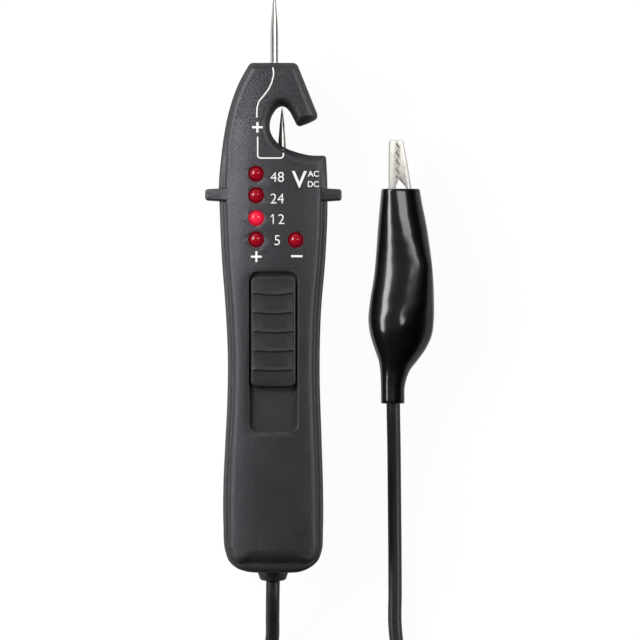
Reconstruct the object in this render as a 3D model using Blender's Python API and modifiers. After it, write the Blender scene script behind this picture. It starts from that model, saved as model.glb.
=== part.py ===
"""Two-pole voltage tester: a hook-headed housing with a probe tip and a piercing needle, a thumb slide,
five indicator lamps, a lead, and a crocodile clip in a slip-on boot.

Sizes are in millimetres, measured along the tester from the housing's bottom end (y = 0) towards the
probe, with z = 0 on the surface that it lies on. The root empty shifts everything so that the scene's
origin is under the middle of the tester, and each mesh is scaled to metres as it is made.
"""
import math

import bmesh
import bpy
from mathutils import Matrix, Vector

MM = 0.001
GAP = 0.3
MERGE_M = 0.00002

# Housing: lengths, walls and levels. The grip ends where the head starts, just above the thumb slide
GRIP_LENGTH = 62.0
HEAD_LENGTH = 42.1
HOUSING_TOP = GRIP_LENGTH + HEAD_LENGTH
WALL = 2.1
BACK_WALL = 1.8
SEAM_Z = 7.65
ROOF_Z = 13.0
CROWN_Z = 16.5
SIDE_DROP = 1.5
SIDE_POWER = 3.0
HEAD_LEAN = 0.5
HEAD_DROP = 2.9
TAIL_DROP = 1.3
CROWN_PEAK_Y = GRIP_LENGTH - 10.0
CAVITY_TOP = GRIP_LENGTH + 21.8
BACK_EDGE = 1.5
CORNER_TIGHTEN = 0.2
END_SHELF = 1.1
HEAD_TIGHTEN = 0.25


def above_grip(points):
    """Points of the head, given by their heights above the grip."""
    return [(x, GRIP_LENGTH + y) for x, y in points]


# Outline of the housing, walked with the material on the left hand
HEAD_LEFT = above_grip([
    (-4.75, HEAD_LENGTH), (-6.0, 40.0), (-6.95, 38.2), (-8.1, 35.4), (-9.2, 31.8), (-10.05, 27.5),
    (-10.75, 22.1), (-11.13, 17.5), (-11.0, 13.1), (-10.5, 1.9)])
GRIP = [
    (-9.71, 53.3), (-9.3, 44.0), (-9.4, 35.3), (-9.85, 25.9), (-10.2, 18.2), (-10.2, 9.5), (-9.9, 4.8),
    (-9.07, 2.45), (-7.43, 0.95), (-5.5, 0.28), (-3.0, 0.03), (0.0, 0.0), (3.0, 0.03), (5.3, 0.2),
    (7.6, 1.15), (9.05, 2.45), (9.85, 4.4), (10.12, 8.5), (10.15, 17.0), (9.85, 27.0), (9.45, 42.0),
    (9.73, 53.3)]
HEAD_RIGHT = above_grip([(10.6, 1.9), (11.06, 13.1), (11.0, 18.2), (10.75, 23.15)])
HOOK = above_grip([
    (10.75, 23.15), (7.57, 23.2), (5.2, 23.7), (2.9, 24.5), (1.2, 25.45), (0.0, 26.75), (-0.7, 28.4),
    (-0.72, 30.2), (0.0, 32.0), (0.85, 33.0), (1.7, 33.35), (2.5, 33.1), (3.2, 32.4), (4.2, 30.6),
    (4.95, 29.1)])
NOSE = above_grip([(4.95, 29.1), (7.1, 29.85), (9.25, 30.95)])
NOSE_SIDE = above_grip([(9.25, 30.95), (4.75, HEAD_LENGTH)])
TOP_EDGE = above_grip([(4.75, HEAD_LENGTH), (-4.75, HEAD_LENGTH)])
RUNS = [HEAD_LEFT + GRIP + HEAD_RIGHT, HOOK, NOSE, NOSE_SIDE, TOP_EDGE]
CORNER_RADII = [0.75, 0.9, 1.1, 1.4, 1.2]
CORNER_POINTS = 4
LEAST_RADIUS = 0.7
OUTLINE_STEP = 5.0
OUTLINE_TURN = math.radians(11.0)
SAMPLES = 14

# Relief of the front face: distance in from the outline, height above the raised panel's edge. The ledge
# fades out between the first and the second height of FADE_LEFT and FADE_RIGHT
FACE_RELIEF = [(0.0, -2.3), (0.1, -1.8), (0.42, -1.37), (0.8, -1.28), (1.16, -1.18), (1.42, -0.7),
               (1.75, -0.28), (2.4, 0.0)]
ROLL_DEPTH = 2.3
ROLL_POWER = 2.2
FADE_LEFT = (GRIP_LENGTH + 16.0, GRIP_LENGTH + 33.0)
FADE_RIGHT = (GRIP_LENGTH + 16.0, GRIP_LENGTH + 22.5)
FADE_SPLIT_X = -3.0
PANEL_CUTS_X = [-7.5, -5.0, -2.5, 0.0, 2.5, 5.0, 7.5]
PANEL_CUTS_Y = [12.0, 24.0, 36.0, 48.0, GRIP_LENGTH - 2.0, GRIP_LENGTH + 10.0, GRIP_LENGTH + 22.0,
                GRIP_LENGTH + 30.0]

# Finger-guard wings
WING_TIP_X = 13.93
WING_ROOT_X = 8.2
WING_LOW_Y = GRIP_LENGTH + 13.7
WING_HIGH_Y = GRIP_LENGTH + 16.6
WING_TAPER = 0.3
WING_TOP_Z = 14.3
WING_FALL = 0.7
WING_CORNER = 0.6
WING_BACK_Z = 2.2
WING_ROUND = 0.45

# Thumb slide and its track
TRACK_X = 4.92
TRACK_LENGTH = 32.6
TRACK_HIGH_Y = GRIP_LENGTH - 0.6
TRACK_LOW_Y = TRACK_HIGH_Y - TRACK_LENGTH
TRACK_RADIUS = 1.6
TRACK_FLOOR_Z = 15.2
SLIDE_WIDTH = 8.98
SLIDE_LENGTH = 22.5
SLIDE_HIGH_Y = TRACK_HIGH_Y - 0.9
SLIDE_LOW_Y = SLIDE_HIGH_Y - SLIDE_LENGTH
SLIDE_RADIUS = 1.25
SLIDE_TOP_Z = 16.6
SLIDE_TRAVEL = 9.0
SLIDE_EDGE = 0.28
RIB_COUNT = 5
RIB_TOP_Y = SLIDE_HIGH_Y - 3.0
RIB_PITCH = 3.92
RIB_WIDTH = 0.62
RIB_HEIGHT = 0.38
RIB_REACH_X = 4.15
RIB_SAG = 0.5
STEM_WIDTH = 2.6
STEM_LOW_Y = SLIDE_LOW_Y + 9.5
STEM_HIGH_Y = STEM_LOW_Y + 3.5
SOCKET_DEPTH = 0.7

# Needle, carrier, spring and their guide
NEEDLE_X = 1.75
NEEDLE_RADIUS = 0.86
NEEDLE_TIP_Y = GRIP_LENGTH + 33.1
NEEDLE_CONE = 9.2
NEEDLE_TIP_RADIUS = 0.08
NEEDLE_TAIL_Y = SLIDE_LOW_Y + 12.0
CARRIER_HALF = 3.0
CARRIER_X = 0.4
CARRIER_LOW_Y = SLIDE_LOW_Y + 8.0
CARRIER_HIGH_Y = CARRIER_LOW_Y + 14.0
CARRIER_BED_Z = 5.3
GUIDE_WALL = 1.0
GUIDE_HIGH_Y = GRIP_LENGTH + 0.5
GUIDE_LOW_Y = TRACK_LOW_Y + 1.2
GUIDE_TOP_Z = 9.0
SPRING_RADIUS = 1.9
SPRING_WIRE = 0.5
SPRING_TURNS = 6

# Probe tip
PROBE_X = 0.18
PROBE_RADIUS = 0.8
PROBE_REACH = 13.0
PROBE_TIP_Y = HOUSING_TOP + PROBE_REACH
PROBE_TAPER_Y = PROBE_TIP_Y - 6.1
PROBE_END_RADIUS = 0.33
PROBE_TAIL_Y = HOUSING_TOP - 5.8
PROBE_COLLAR_LOW_Y = HOUSING_TOP - 4.9
PROBE_COLLAR_HIGH_Y = HOUSING_TOP - 2.9
PROBE_COLLAR_RADIUS = 1.5

# Indicator lamps and circuit board
LED_RADIUS = 1.5
LED_FLANGE_RADIUS = 1.9
LED_FLANGE_HEIGHT = 1.0
LED_PROUD = 0.35
LED_HOLE_CLEAR = 0.12
LEDS = {"led_48": (-3.5, GRIP_LENGTH + 19.4), "led_24": (-3.5, GRIP_LENGTH + 15.0),
        "led_12": (-3.5, GRIP_LENGTH + 10.4), "led_5": (-3.5, GRIP_LENGTH + 6.0),
        "led_minus": (4.53, GRIP_LENGTH + 5.9)}
BOARD_HALF = 8.1
BOARD_LOW_Y = GRIP_LENGTH + 1.5
BOARD_HIGH_Y = GRIP_LENGTH + 20.8
BOARD_THICK = 1.2
CHIP_SIZE = (4.8, 3.8)
CHIP_AT = (4.6, GRIP_LENGTH + 14.5)
CHIP_HEIGHT = 1.0
RESISTOR_SIZE = (3.1, 1.6)
RESISTOR_HEIGHT = 0.7
RESISTOR_X = -5.6
RESISTOR_LOW_Y = GRIP_LENGTH + 6.0
RESISTOR_PITCH = 4.6
RESISTOR_COUNT = 3
STRIP_WIDTH = 1.4
STRIP_THICK = 0.4
STRIP_X = -2.9
LEAF_LOW_Y = GRIP_LENGTH + 10.0

# Screws through the back
SCREWS = {"shell_screw_low": (0.0, 13.0), "shell_screw_high": (-6.4, GRIP_LENGTH + 26.0)}
SCREW_RADIUS = 1.1
SCREW_HEAD_RADIUS = 1.95
SCREW_HEAD_HEIGHT = 1.3
SCREW_SINK = 2.2
SCREW_TOP_Z = 12.4
SCREW_SLOT = 0.5
BOSS_RADIUS = 2.7

# Lead and grommet
LEAD_RADIUS = 1.4
LEAD_X = -0.1
INNER_LEAD_X = -5.6
INNER_LEAD_KNOTS = [(LEAD_X, 4.2, SEAM_Z), (-2.2, 6.8, SEAM_Z), (-5.0, 10.5, SEAM_Z),
                    (INNER_LEAD_X, 17.0, SEAM_Z), (INNER_LEAD_X, 30.0, SEAM_Z),
                    (INNER_LEAD_X, 50.0, SEAM_Z), (INNER_LEAD_X, GRIP_LENGTH + 4.0, SEAM_Z - 0.9)]
LEAD_LENGTH = 1000.0
GROMMET_OUT = 1.73
GROMMET_RADIUS = 3.05
GROMMET_END_RADIUS = 2.6
GROMMET_NECK_RADIUS = 2.35
GROMMET_FLANGE_RADIUS = 3.4
GROMMET_FLANGE = 1.2
COIL_CENTRE = (11.5, -40.5)
COIL_MEAN_RADIUS = 16.4
COIL_ENTRY_DEG = 150.0
COIL_LEAVE_DEG = 30.0
COIL_PITCH = 2.85
COIL_LAYERS = 2
TIE_THICK = 0.6
TIE_WIDTH = 5.0

# Crocodile clip, with its own axis level above the floor
CLIP_Z = 5.6
PIVOT = (26.0, 66.5)
SHEET = 0.5
FIXED_HALF = 2.0
MOVING_HALF = 2.8
TOOTH_LINE_X = 25.4
TOOTH_DEPTH = 0.75
TOOTH_PITCH = 1.7
TOOTH_COUNT = 4
TOOTH_LOW_Y = 80.9
JAW_TIP_Y = 88.5
EAR_RADIUS = 2.6
RIVET_RADIUS = 1.1
RIVET_HEAD_RADIUS = 1.8
RIVET_HEAD = 0.5
CRIMP_LOW_Y = 43.0
CRIMP_HIGH_Y = 47.5
CRIMP_WALL = 0.5
TORSION_RADIUS = 1.8
TORSION_WIRE = 0.5
BOOT_WALL = 0.8
BOOT_NECK_Y = 34.7
# Boot sections: y, centre x, half width, half height, squareness
BOOT_SECTIONS = [
    (BOOT_NECK_Y, 24.4, 2.4, 2.4, 2.0), (38.5, 24.45, 2.5, 2.45, 2.0), (41.4, 24.9, 3.1, 2.9, 2.0),
    (43.2, 25.45, 3.95, 3.6, 2.1), (45.6, 25.9, 5.2, 4.55, 2.2), (48.5, 26.1, 6.3, 5.35, 2.3),
    (51.5, 26.1, 6.7, 5.6, 2.4), (55.5, 26.3, 6.55, 5.6, 2.4), (60.5, 26.6, 6.05, 5.45, 2.5),
    (66.0, 26.55, 5.5, 5.15, 2.7), (71.0, 26.35, 4.95, 4.8, 3.0), (75.5, 26.1, 4.3, 4.35, 3.4),
    (78.2, 26.0, 3.95, 4.1, 3.6)]

ROOT_SHIFT_Y = -(PROBE_TIP_Y - GROMMET_OUT) / 2
BOARD_TOP_Z = ROOF_Z - GAP - LED_FLANGE_HEIGHT - GAP
CORD_FLOOR_Z = LEAD_RADIUS


def clear_scene():
    """Remove every object, so that the script can be run again."""
    for item in list(bpy.data.objects):
        bpy.data.objects.remove(item, do_unlink=True)


clear_scene()
PARTS = bpy.data.collections.new("voltage_tester")
CUTTERS = bpy.data.collections.new("cutters")
bpy.context.scene.collection.children.link(PARTS)
bpy.context.scene.collection.children.link(CUTTERS)


def material(name, color, roughness, metallic=0.0):
    """A Principled material in one colour."""
    made = bpy.data.materials.new(name)
    made.use_nodes = True
    shader = made.node_tree.nodes["Principled BSDF"]
    shader.inputs["Base Color"].default_value = (*color, 1.0)
    shader.inputs["Roughness"].default_value = roughness
    shader.inputs["Metallic"].default_value = metallic
    return made


HOUSING_PLASTIC = material("housing_plastic", (0.05, 0.05, 0.055), 0.55)
SLIDE_PLASTIC = material("slide_plastic", (0.045, 0.045, 0.05), 0.6)
RED_LENS = material("red_lens", (0.5, 0.01, 0.02), 0.15)
LIT_LENS = material("lit_lens", (0.95, 0.08, 0.15), 0.15)
NICKEL = material("nickel", (0.78, 0.76, 0.7), 0.25, 1.0)
BOARD_GREEN = material("board_green", (0.03, 0.16, 0.07), 0.45)
CHIP_BLACK = material("chip_black", (0.03, 0.03, 0.03), 0.4)
LEAD_VINYL = material("lead_vinyl", (0.02, 0.02, 0.022), 0.4)
BOOT_VINYL = material("boot_vinyl", (0.01, 0.01, 0.011), 0.12)


def empty(name, at=(0.0, 0.0, 0.0), parent=None):
    """An empty that carries pieces, placed in millimetres under its parent."""
    carrier = bpy.data.objects.new(name, None)
    carrier.location = Vector(at) * MM
    carrier.parent = parent
    PARTS.objects.link(carrier)
    return carrier


TESTER = empty("tester_root", (0.0, ROOT_SHIFT_Y, 0.0))
SLIDE_ROOT = empty("slide_root", (0.0, SLIDE_LOW_Y, SEAM_Z), TESTER)
JAW_ROOT = empty("jaw_pivot", (*PIVOT, CLIP_Z), TESTER)


def carried_at(parent):
    """Where a carrier empty stands, in the tester's millimetres."""
    if parent is TESTER:
        return Vector((0.0, 0.0, 0.0))
    return parent.location / MM


def to_object(name, bm, finish, parent=TESTER, collection=PARTS):
    """A closed bmesh in the tester's millimetres becomes an object under its carrier, in metres."""
    bmesh.ops.translate(bm, verts=bm.verts, vec=-carried_at(parent))
    bmesh.ops.scale(bm, verts=bm.verts, vec=(MM, MM, MM))
    bmesh.ops.recalc_face_normals(bm, faces=bm.faces)
    mesh = bpy.data.meshes.new(name)
    bm.to_mesh(mesh)
    bm.free()
    if finish is not None:
        mesh.materials.append(finish)
        mesh.shade_smooth()
        mesh.set_sharp_from_angle(angle=math.radians(35))
    piece = bpy.data.objects.new(name, mesh)
    piece.parent = parent
    collection.objects.link(piece)
    return piece


def cutter(name, bm, parent=TESTER):
    """A closed bmesh used only to cut or join another piece."""
    tool = to_object(name, bm, None, parent, CUTTERS)
    tool.hide_render = True
    tool.display_type = "WIRE"
    return tool


def cut(piece, tool, operation="DIFFERENCE"):
    """Cut a tool out of a piece, or join it on."""
    step = piece.modifiers.new(tool.name, "BOOLEAN")
    step.operation = operation
    step.object = tool


def box_mesh(low, high):
    """A box between two corners."""
    low, high = Vector(low), Vector(high)
    bm = bmesh.new()
    size = high - low
    place = Matrix.Translation((low + high) / 2) @ Matrix.Diagonal((*size, 1.0))
    bmesh.ops.create_cube(bm, size=1.0, matrix=place)
    return bm


def rod_mesh(radius, start, end, sides=24, end_radius=None):
    """A cylinder or cone between two points."""
    start, end = Vector(start), Vector(end)
    axis = end - start
    bm = bmesh.new()
    turn = Vector((0.0, 0.0, 1.0)).rotation_difference(axis.normalized()).to_matrix().to_4x4()
    place = Matrix.Translation((start + end) / 2) @ turn
    bmesh.ops.create_cone(bm, cap_ends=True, segments=sides, radius1=radius,
                          radius2=radius if end_radius is None else end_radius,
                          depth=axis.length, matrix=place)
    return bm


def plate_mesh(points, low_z, high_z):
    """A flat outline raised between two heights."""
    bm = bmesh.new()
    face = bm.faces.new([bm.verts.new((x, y, low_z)) for x, y in points])
    raised = bmesh.ops.extrude_face_region(bm, geom=[face])
    moved = [item for item in raised["geom"] if isinstance(item, bmesh.types.BMVert)]
    bmesh.ops.translate(bm, verts=moved, vec=(0.0, 0.0, high_z - low_z))
    return bm


def turned_piece(name, profile, at, finish, parent=TESTER, axis="Y", sides=20, collection=PARTS):
    """A turned piece: (radius, distance) pairs, spun about a line through a point by a Screw modifier."""
    area = sum(a[0] * b[1] - b[0] * a[1] for a, b in zip(profile, profile[1:] + profile[:1]))
    if area > 0:
        profile = profile[::-1]
    mesh = bpy.data.meshes.new(name)
    if axis == "Y":
        corners = [(radius * MM, along * MM, 0.0) for radius, along in profile]
    else:
        corners = [(radius * MM, 0.0, along * MM) for radius, along in profile]
    closed = profile[0][0] > 0.0
    links = [(index, index + 1) for index in range(len(corners) - 1)]
    if closed:
        links.append((len(corners) - 1, 0))
    mesh.from_pydata(corners, links, [])
    if finish is not None:
        mesh.materials.append(finish)
    piece = bpy.data.objects.new(name, mesh)
    piece.location = (Vector(at) - carried_at(parent)) * MM
    piece.parent = parent
    collection.objects.link(piece)
    spin = piece.modifiers.new("turn", "SCREW")
    spin.axis = axis
    spin.steps = sides
    spin.render_steps = sides
    spin.use_merge_vertices = True
    spin.merge_threshold = MERGE_M
    spin.use_smooth_shade = True
    return piece


def tube_object(name, points, radius, finish, resolution=2, parent=TESTER):
    """A round wire or tube along a list of points, with filled ends."""
    curve = bpy.data.curves.new(name, "CURVE")
    curve.dimensions = "3D"
    curve.bevel_depth = radius * MM
    curve.bevel_resolution = resolution
    curve.use_fill_caps = True
    line = curve.splines.new("POLY")
    line.points.add(len(points) - 1)
    for spot, place in zip(line.points, points):
        spot.co = (*((Vector(place) - carried_at(parent)) * MM), 1.0)
    curve.materials.append(finish)
    piece = bpy.data.objects.new(name, curve)
    piece.parent = parent
    PARTS.objects.link(piece)
    return piece


def smooth_points(knots, per_span):
    """Evenly spread samples of a smooth curve through knots, weighted by the spans' lengths."""
    knots = [Vector(knot) for knot in knots]
    spans = [(after - before).length for before, after in zip(knots, knots[1:])]
    chords = [(after - before) / span for before, after, span in zip(knots, knots[1:], spans)]
    slopes = [chords[0]]
    for index in range(1, len(knots) - 1):
        before, after = spans[index - 1], spans[index]
        slopes.append((chords[index] * before + chords[index - 1] * after) / (before + after))
    slopes.append(chords[-1])
    points = []
    for index, span in enumerate(spans):
        for step in range(per_span):
            t = step / per_span
            points.append((2 * t ** 3 - 3 * t ** 2 + 1) * knots[index]
                          + (t ** 3 - 2 * t ** 2 + t) * span * slopes[index]
                          + (3 * t ** 2 - 2 * t ** 3) * knots[index + 1]
                          + (t ** 3 - t ** 2) * span * slopes[index + 1])
    points.append(knots[-1])
    return points


def left_normals(points):
    """Unit normals on the left hand of a walked line."""
    normals = []
    for index in range(len(points)):
        ahead = points[min(index + 1, len(points) - 1)] - points[max(index - 1, 0)]
        normals.append(Vector((-ahead.y, ahead.x)).normalized())
    return normals


def crossing(first, second):
    """Where the end of one line meets the start of the next, as fractional indices."""
    reach_first = max(0, len(first) - 2 - 3 * SAMPLES)
    for back in range(len(first) - 2, reach_first - 1, -1):
        a, b = first[back], first[back + 1]
        for ahead in range(min(3 * SAMPLES, len(second) - 1)):
            c, d = second[ahead], second[ahead + 1]
            across = (b - a).cross(d - c)
            if abs(across) < 1e-12:
                continue
            t = (c - a).cross(d - c) / across
            u = (c - a).cross(b - a) / across
            if -1e-6 <= t <= 1.000001 and -1e-6 <= u <= 1.000001:
                return back + t, ahead + u
    return float(len(first) - 1), 0.0


DENSE_RUNS = [smooth_points(run, SAMPLES) for run in RUNS]
DENSE_NORMALS = [left_normals(run) for run in DENSE_RUNS]


def at_index(points, index):
    """A point on a line at a fractional index."""
    low = min(int(index), len(points) - 2)
    return points[low].lerp(points[low + 1], index - low)


def walked(points, index, distance):
    """The fractional index that lies a distance further along a line, backwards if it is negative."""
    step = 1 if distance > 0 else -1
    left = abs(distance)
    here = at_index(points, index)
    while left > 0:
        goal = math.floor(index + 1e-9) + 1 if step > 0 else math.ceil(index - 1e-9) - 1
        goal = min(max(goal, 0), len(points) - 1)
        if goal == index:
            return index
        length = (points[goal] - here).length
        if length >= left:
            return index + (goal - index) * left / length
        left -= length
        index, here = float(goal), points[goal]
    return index


def smoothstep(low, high, value):
    """Runs smoothly from 0 at low to 1 at high, which may be the smaller number."""
    t = min(max((value - low) / (high - low), 0.0), 1.0)
    return t * t * (3 - 2 * t)


def rim_width(x, y):
    """How wide the edge is at a place: wide across the end, tight in its two corners and in the head."""
    corner = CORNER_TIGHTEN * smoothstep(10.0, 4.0, y)
    shelf = END_SHELF * smoothstep(8.6, 4.6, abs(x)) * smoothstep(5.0, 2.6, y)
    head = HEAD_TIGHTEN * smoothstep(CAVITY_TOP, CAVITY_TOP + 4.0, y)
    return 1.0 - corner - head + shelf


def outline_parts(inset, widen):
    """The runs of the outline moved inwards, with the indices where their rounded corners start."""
    lines = []
    for points, normals in zip(DENSE_RUNS, DENSE_NORMALS):
        lines.append([point + normal * inset * (rim_width(point.x, point.y) if widen else 1.0)
                      for point, normal in zip(points, normals)])
    starts = [0.0] * len(lines)
    ends = [0.0] * len(lines)
    corners = []
    for index, line in enumerate(lines):
        following = (index + 1) % len(lines)
        leave, enter = crossing(line, lines[following])
        corner = at_index(line, leave)
        radius = max(CORNER_RADII[index] - inset, LEAST_RADIUS)
        before = corner - at_index(line, max(leave - 2.0, 0.0))
        after = at_index(lines[following], enter + 2.0) - corner
        trim = radius * math.tan(before.angle(after) / 2)
        ends[index] = walked(line, leave, -trim)
        starts[following] = walked(lines[following], enter, trim)
        corners.append(corner)
    return lines, starts, ends, corners


def sample_fractions():
    """How far along each run its points go: closer together where the outline turns."""
    lines, starts, ends, corners = outline_parts(0.0, False)
    fractions = []
    for line, start, end in zip(lines, starts, ends):
        inner = [start] + [float(index) for index in range(int(start) + 1, math.ceil(end))] + [end]
        spots = [at_index(line, index) for index in inner]
        weights = [0.0]
        for index in range(1, len(spots)):
            ahead = spots[index] - spots[index - 1]
            turn = 0.0
            if 1 < index:
                turn = abs((spots[index - 1] - spots[index - 2]).angle(ahead, 0.0))
            weights.append(weights[-1] + ahead.length / OUTLINE_STEP + turn / OUTLINE_TURN)
        count = max(2, round(weights[-1]))
        run = []
        for step in range(count + 1):
            goal = weights[-1] * step / count
            place = next(index for index in range(1, len(weights))
                         if weights[index] >= goal - 1e-9)
            part = (goal - weights[place - 1]) / max(weights[place] - weights[place - 1], 1e-9)
            index = inner[place - 1] + (inner[place] - inner[place - 1]) * part
            run.append((index - start) / (end - start))
        fractions.append(run)
    return fractions


FRACTIONS = sample_fractions()


def outline(inset, widen=False):
    """The closed outline of the housing, moved inwards, always with the same number of points."""
    lines, starts, ends, corners = outline_parts(inset, widen)
    loop = []
    for index, line in enumerate(lines):
        for fraction in FRACTIONS[index]:
            loop.append(at_index(line, starts[index] + (ends[index] - starts[index]) * fraction))
        following = (index + 1) % len(lines)
        leave = loop[-1]
        enter = at_index(lines[following], starts[following])
        corner = corners[index]
        for step in range(1, CORNER_POINTS):
            t = step / CORNER_POINTS
            loop.append((1 - t) ** 2 * leave + 2 * t * (1 - t) * corner + t ** 2 * enter)
    return loop


def crown(x, y):
    """Height of the housing's crowned face."""
    side = SIDE_DROP * (abs(x) / 10.0) ** SIDE_POWER
    if x < 0.0:
        side *= 1.0 + HEAD_LEAN * smoothstep(CROWN_PEAK_Y, CAVITY_TOP, y)
    if y > CROWN_PEAK_Y:
        end = HEAD_DROP * ((y - CROWN_PEAK_Y) / (HOUSING_TOP - CROWN_PEAK_Y)) ** 2
    else:
        end = TAIL_DROP * ((CROWN_PEAK_Y - y) / CROWN_PEAK_Y) ** 2
    return CROWN_Z - side - end


def loft(bm, rings):
    """Quads between rings of points that have equal counts; the first and last rings come back."""
    layers = [[bm.verts.new(point) for point in ring] for ring in rings]
    for lower, upper in zip(layers, layers[1:]):
        for index in range(len(lower)):
            following = (index + 1) % len(lower)
            bm.faces.new((lower[index], lower[following], upper[following], upper[index]))
    return layers[0], layers[-1]


def ledge(x, y):
    """How much of the ledge the edge has at a place: all of it low down, none round the hook."""
    low, high = FADE_LEFT if x < FADE_SPLIT_X else FADE_RIGHT
    return 1.0 - smoothstep(low, high, y)


def edge_ring(inset, rise):
    """One ring of the face's edge, between the edge with a ledge and the plain rolled one."""
    rolled = -ROLL_DEPTH * (1.0 - inset / FACE_RELIEF[-1][0]) ** ROLL_POWER
    ring = []
    for base, p, panel in zip(outline(0.0), outline(inset, True), outline(FACE_RELIEF[-1][0], True)):
        share = ledge(base.x, base.y)
        ring.append((p.x, p.y, crown(panel.x, panel.y) + share * rise + (1.0 - share) * rolled))
    return ring


def front_mesh():
    """The front shell's outside: straight sides, rounded rim, ledge and crowned panel."""
    bottom = SEAM_Z + GAP / 2
    rings = [[(p.x, p.y, bottom) for p in outline(0.0)]]
    rings += [edge_ring(inset, rise) for inset, rise in FACE_RELIEF]
    bm = bmesh.new()
    low, high = loft(bm, rings)
    bm.faces.new(low)
    face = bm.faces.new(high)
    panel = [face]
    cuts = [((x, 0.0, 0.0), (1.0, 0.0, 0.0)) for x in PANEL_CUTS_X]
    cuts += [((0.0, y, 0.0), (0.0, 1.0, 0.0)) for y in PANEL_CUTS_Y]
    for point, normal in cuts:
        shape = panel + [e for f in panel for e in f.edges] + [v for f in panel for v in f.verts]
        made = bmesh.ops.bisect_plane(bm, geom=list(set(shape)), plane_co=point, plane_no=normal)
        panel = [item for item in made["geom"] if isinstance(item, bmesh.types.BMFace)]
    for vert in {v for f in panel for v in f.verts}:
        vert.co.z = crown(vert.co.x, vert.co.y)
    return bm


def rear_mesh():
    """The rear shell's outside: a flat back with a rounded edge and straight sides."""
    top = SEAM_Z - GAP / 2
    rings = []
    for step in range(4):
        angle = math.pi / 2 * step / 3
        inset = BACK_EDGE * (1 - math.sin(angle))
        height = BACK_EDGE * (1 - math.cos(angle))
        rings.append([(p.x, p.y, height) for p in outline(inset)])
    rings.append([(p.x, p.y, top) for p in outline(0.0)])
    bm = bmesh.new()
    low, high = loft(bm, rings)
    bm.faces.new(low)
    bm.faces.new(high)
    return bm


def wing_mesh(side, low_z, high_z, rounded_z):
    """One wing of one shell: a stub with a blunt end and softened edges, its face falling outwards."""
    middle = (WING_LOW_Y + WING_HIGH_Y) / 2
    half_root = (WING_HIGH_Y - WING_LOW_Y) / 2
    round_x, round_y = WING_TIP_X - WING_CORNER, half_root - WING_TAPER - WING_CORNER
    upper = [(round_x + WING_CORNER * math.sin(a), middle + round_y + WING_CORNER * math.cos(a))
             for a in [math.radians(30 * step) for step in range(4)]]
    lower = [(x, 2 * middle - y) for x, y in upper[::-1]]
    points = [(WING_ROOT_X, middle + half_root)] + upper + lower + [(WING_ROOT_X, middle - half_root)]
    bm = plate_mesh([(side * x, y) for x, y in points], low_z, high_z)
    edge = [e for e in bm.edges if all(abs(v.co.z - rounded_z) < 1e-6 for v in e.verts)]
    bmesh.ops.bevel(bm, geom=edge, offset=WING_ROUND, segments=2, profile=0.5, affect="EDGES",
                    offset_type="OFFSET", material=-1)
    if rounded_z > SEAM_Z:
        for vert in bm.verts:
            if vert.co.z > (low_z + high_z) / 2:
                vert.co.z -= WING_FALL * (abs(vert.co.x) - WING_ROOT_X) / (WING_TIP_X - WING_ROOT_X)
    return bm


def cavity_mesh():
    """The hollow of both shells: the outline moved in by the wall, cut off below the hook."""
    bm = plate_mesh([(p.x, p.y) for p in outline(WALL)], BACK_WALL, ROOF_Z)
    everything = list(bm.verts) + list(bm.edges) + list(bm.faces)
    bmesh.ops.bisect_plane(bm, geom=everything, plane_co=(0.0, CAVITY_TOP, 0.0),
                           plane_no=(0.0, 1.0, 0.0), clear_outer=True)
    bmesh.ops.holes_fill(bm, edges=[e for e in bm.edges if e.is_boundary], sides=0)
    return bm


def rounded_box(x_low, x_high, y_low, y_high, radius, steps=4):
    """Corners of a rectangle with round corners, anticlockwise."""
    centres = [(x_high - radius, y_low + radius, -90), (x_high - radius, y_high - radius, 0),
               (x_low + radius, y_high - radius, 90), (x_low + radius, y_low + radius, 180)]
    points = []
    for x, y, start in centres:
        for step in range(steps + 1):
            angle = math.radians(start + 90 * step / steps)
            points.append((x + radius * math.cos(angle), y + radius * math.sin(angle)))
    return points


def head_channel():
    """Room in the head for the probe's tail and the strip that runs round the hook."""
    half = STRIP_WIDTH / 2 + GAP
    across = [(PROBE_X + half, PROBE_TAIL_Y), (STRIP_X - half, PROBE_TAIL_Y),
              (STRIP_X - half, CAVITY_TOP - 1.0), (STRIP_X + half, CAVITY_TOP - 1.0),
              (STRIP_X + half, PROBE_TAIL_Y - 2 * half), (PROBE_X + half, PROBE_TAIL_Y - 2 * half)]
    half_deep = STRIP_THICK / 2 + GAP
    return plate_mesh(across, SEAM_Z - half_deep, SEAM_Z + half_deep)


def shared_cutters():
    """The hollows and bores that lie across both shells."""
    tools = [cutter("cut_cavity", cavity_mesh()), cutter("cut_head_channel", head_channel())]
    reach = 3.0
    needle = rod_mesh(NEEDLE_RADIUS + GAP, (NEEDLE_X, CAVITY_TOP - 1.0, SEAM_Z),
                      (NEEDLE_X, GRIP_LENGTH + 25.0 + reach, SEAM_Z), 16)
    probe = rod_mesh(PROBE_RADIUS + GAP, (PROBE_X, PROBE_TAIL_Y - GAP, SEAM_Z),
                     (PROBE_X, HOUSING_TOP + reach, SEAM_Z), 16)
    collar = rod_mesh(PROBE_COLLAR_RADIUS + GAP, (PROBE_X, PROBE_COLLAR_LOW_Y - GAP, SEAM_Z),
                      (PROBE_X, PROBE_COLLAR_HIGH_Y + GAP, SEAM_Z), 20)
    lead = rod_mesh(GROMMET_NECK_RADIUS + GAP, (LEAD_X, -reach, SEAM_Z), (LEAD_X, WALL + 1.0, SEAM_Z), 24)
    for name, bm in (("cut_needle", needle), ("cut_probe", probe), ("cut_collar", collar),
                     ("cut_lead", lead)):
        tools.append(cutter(name, bm))
    return tools


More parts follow.
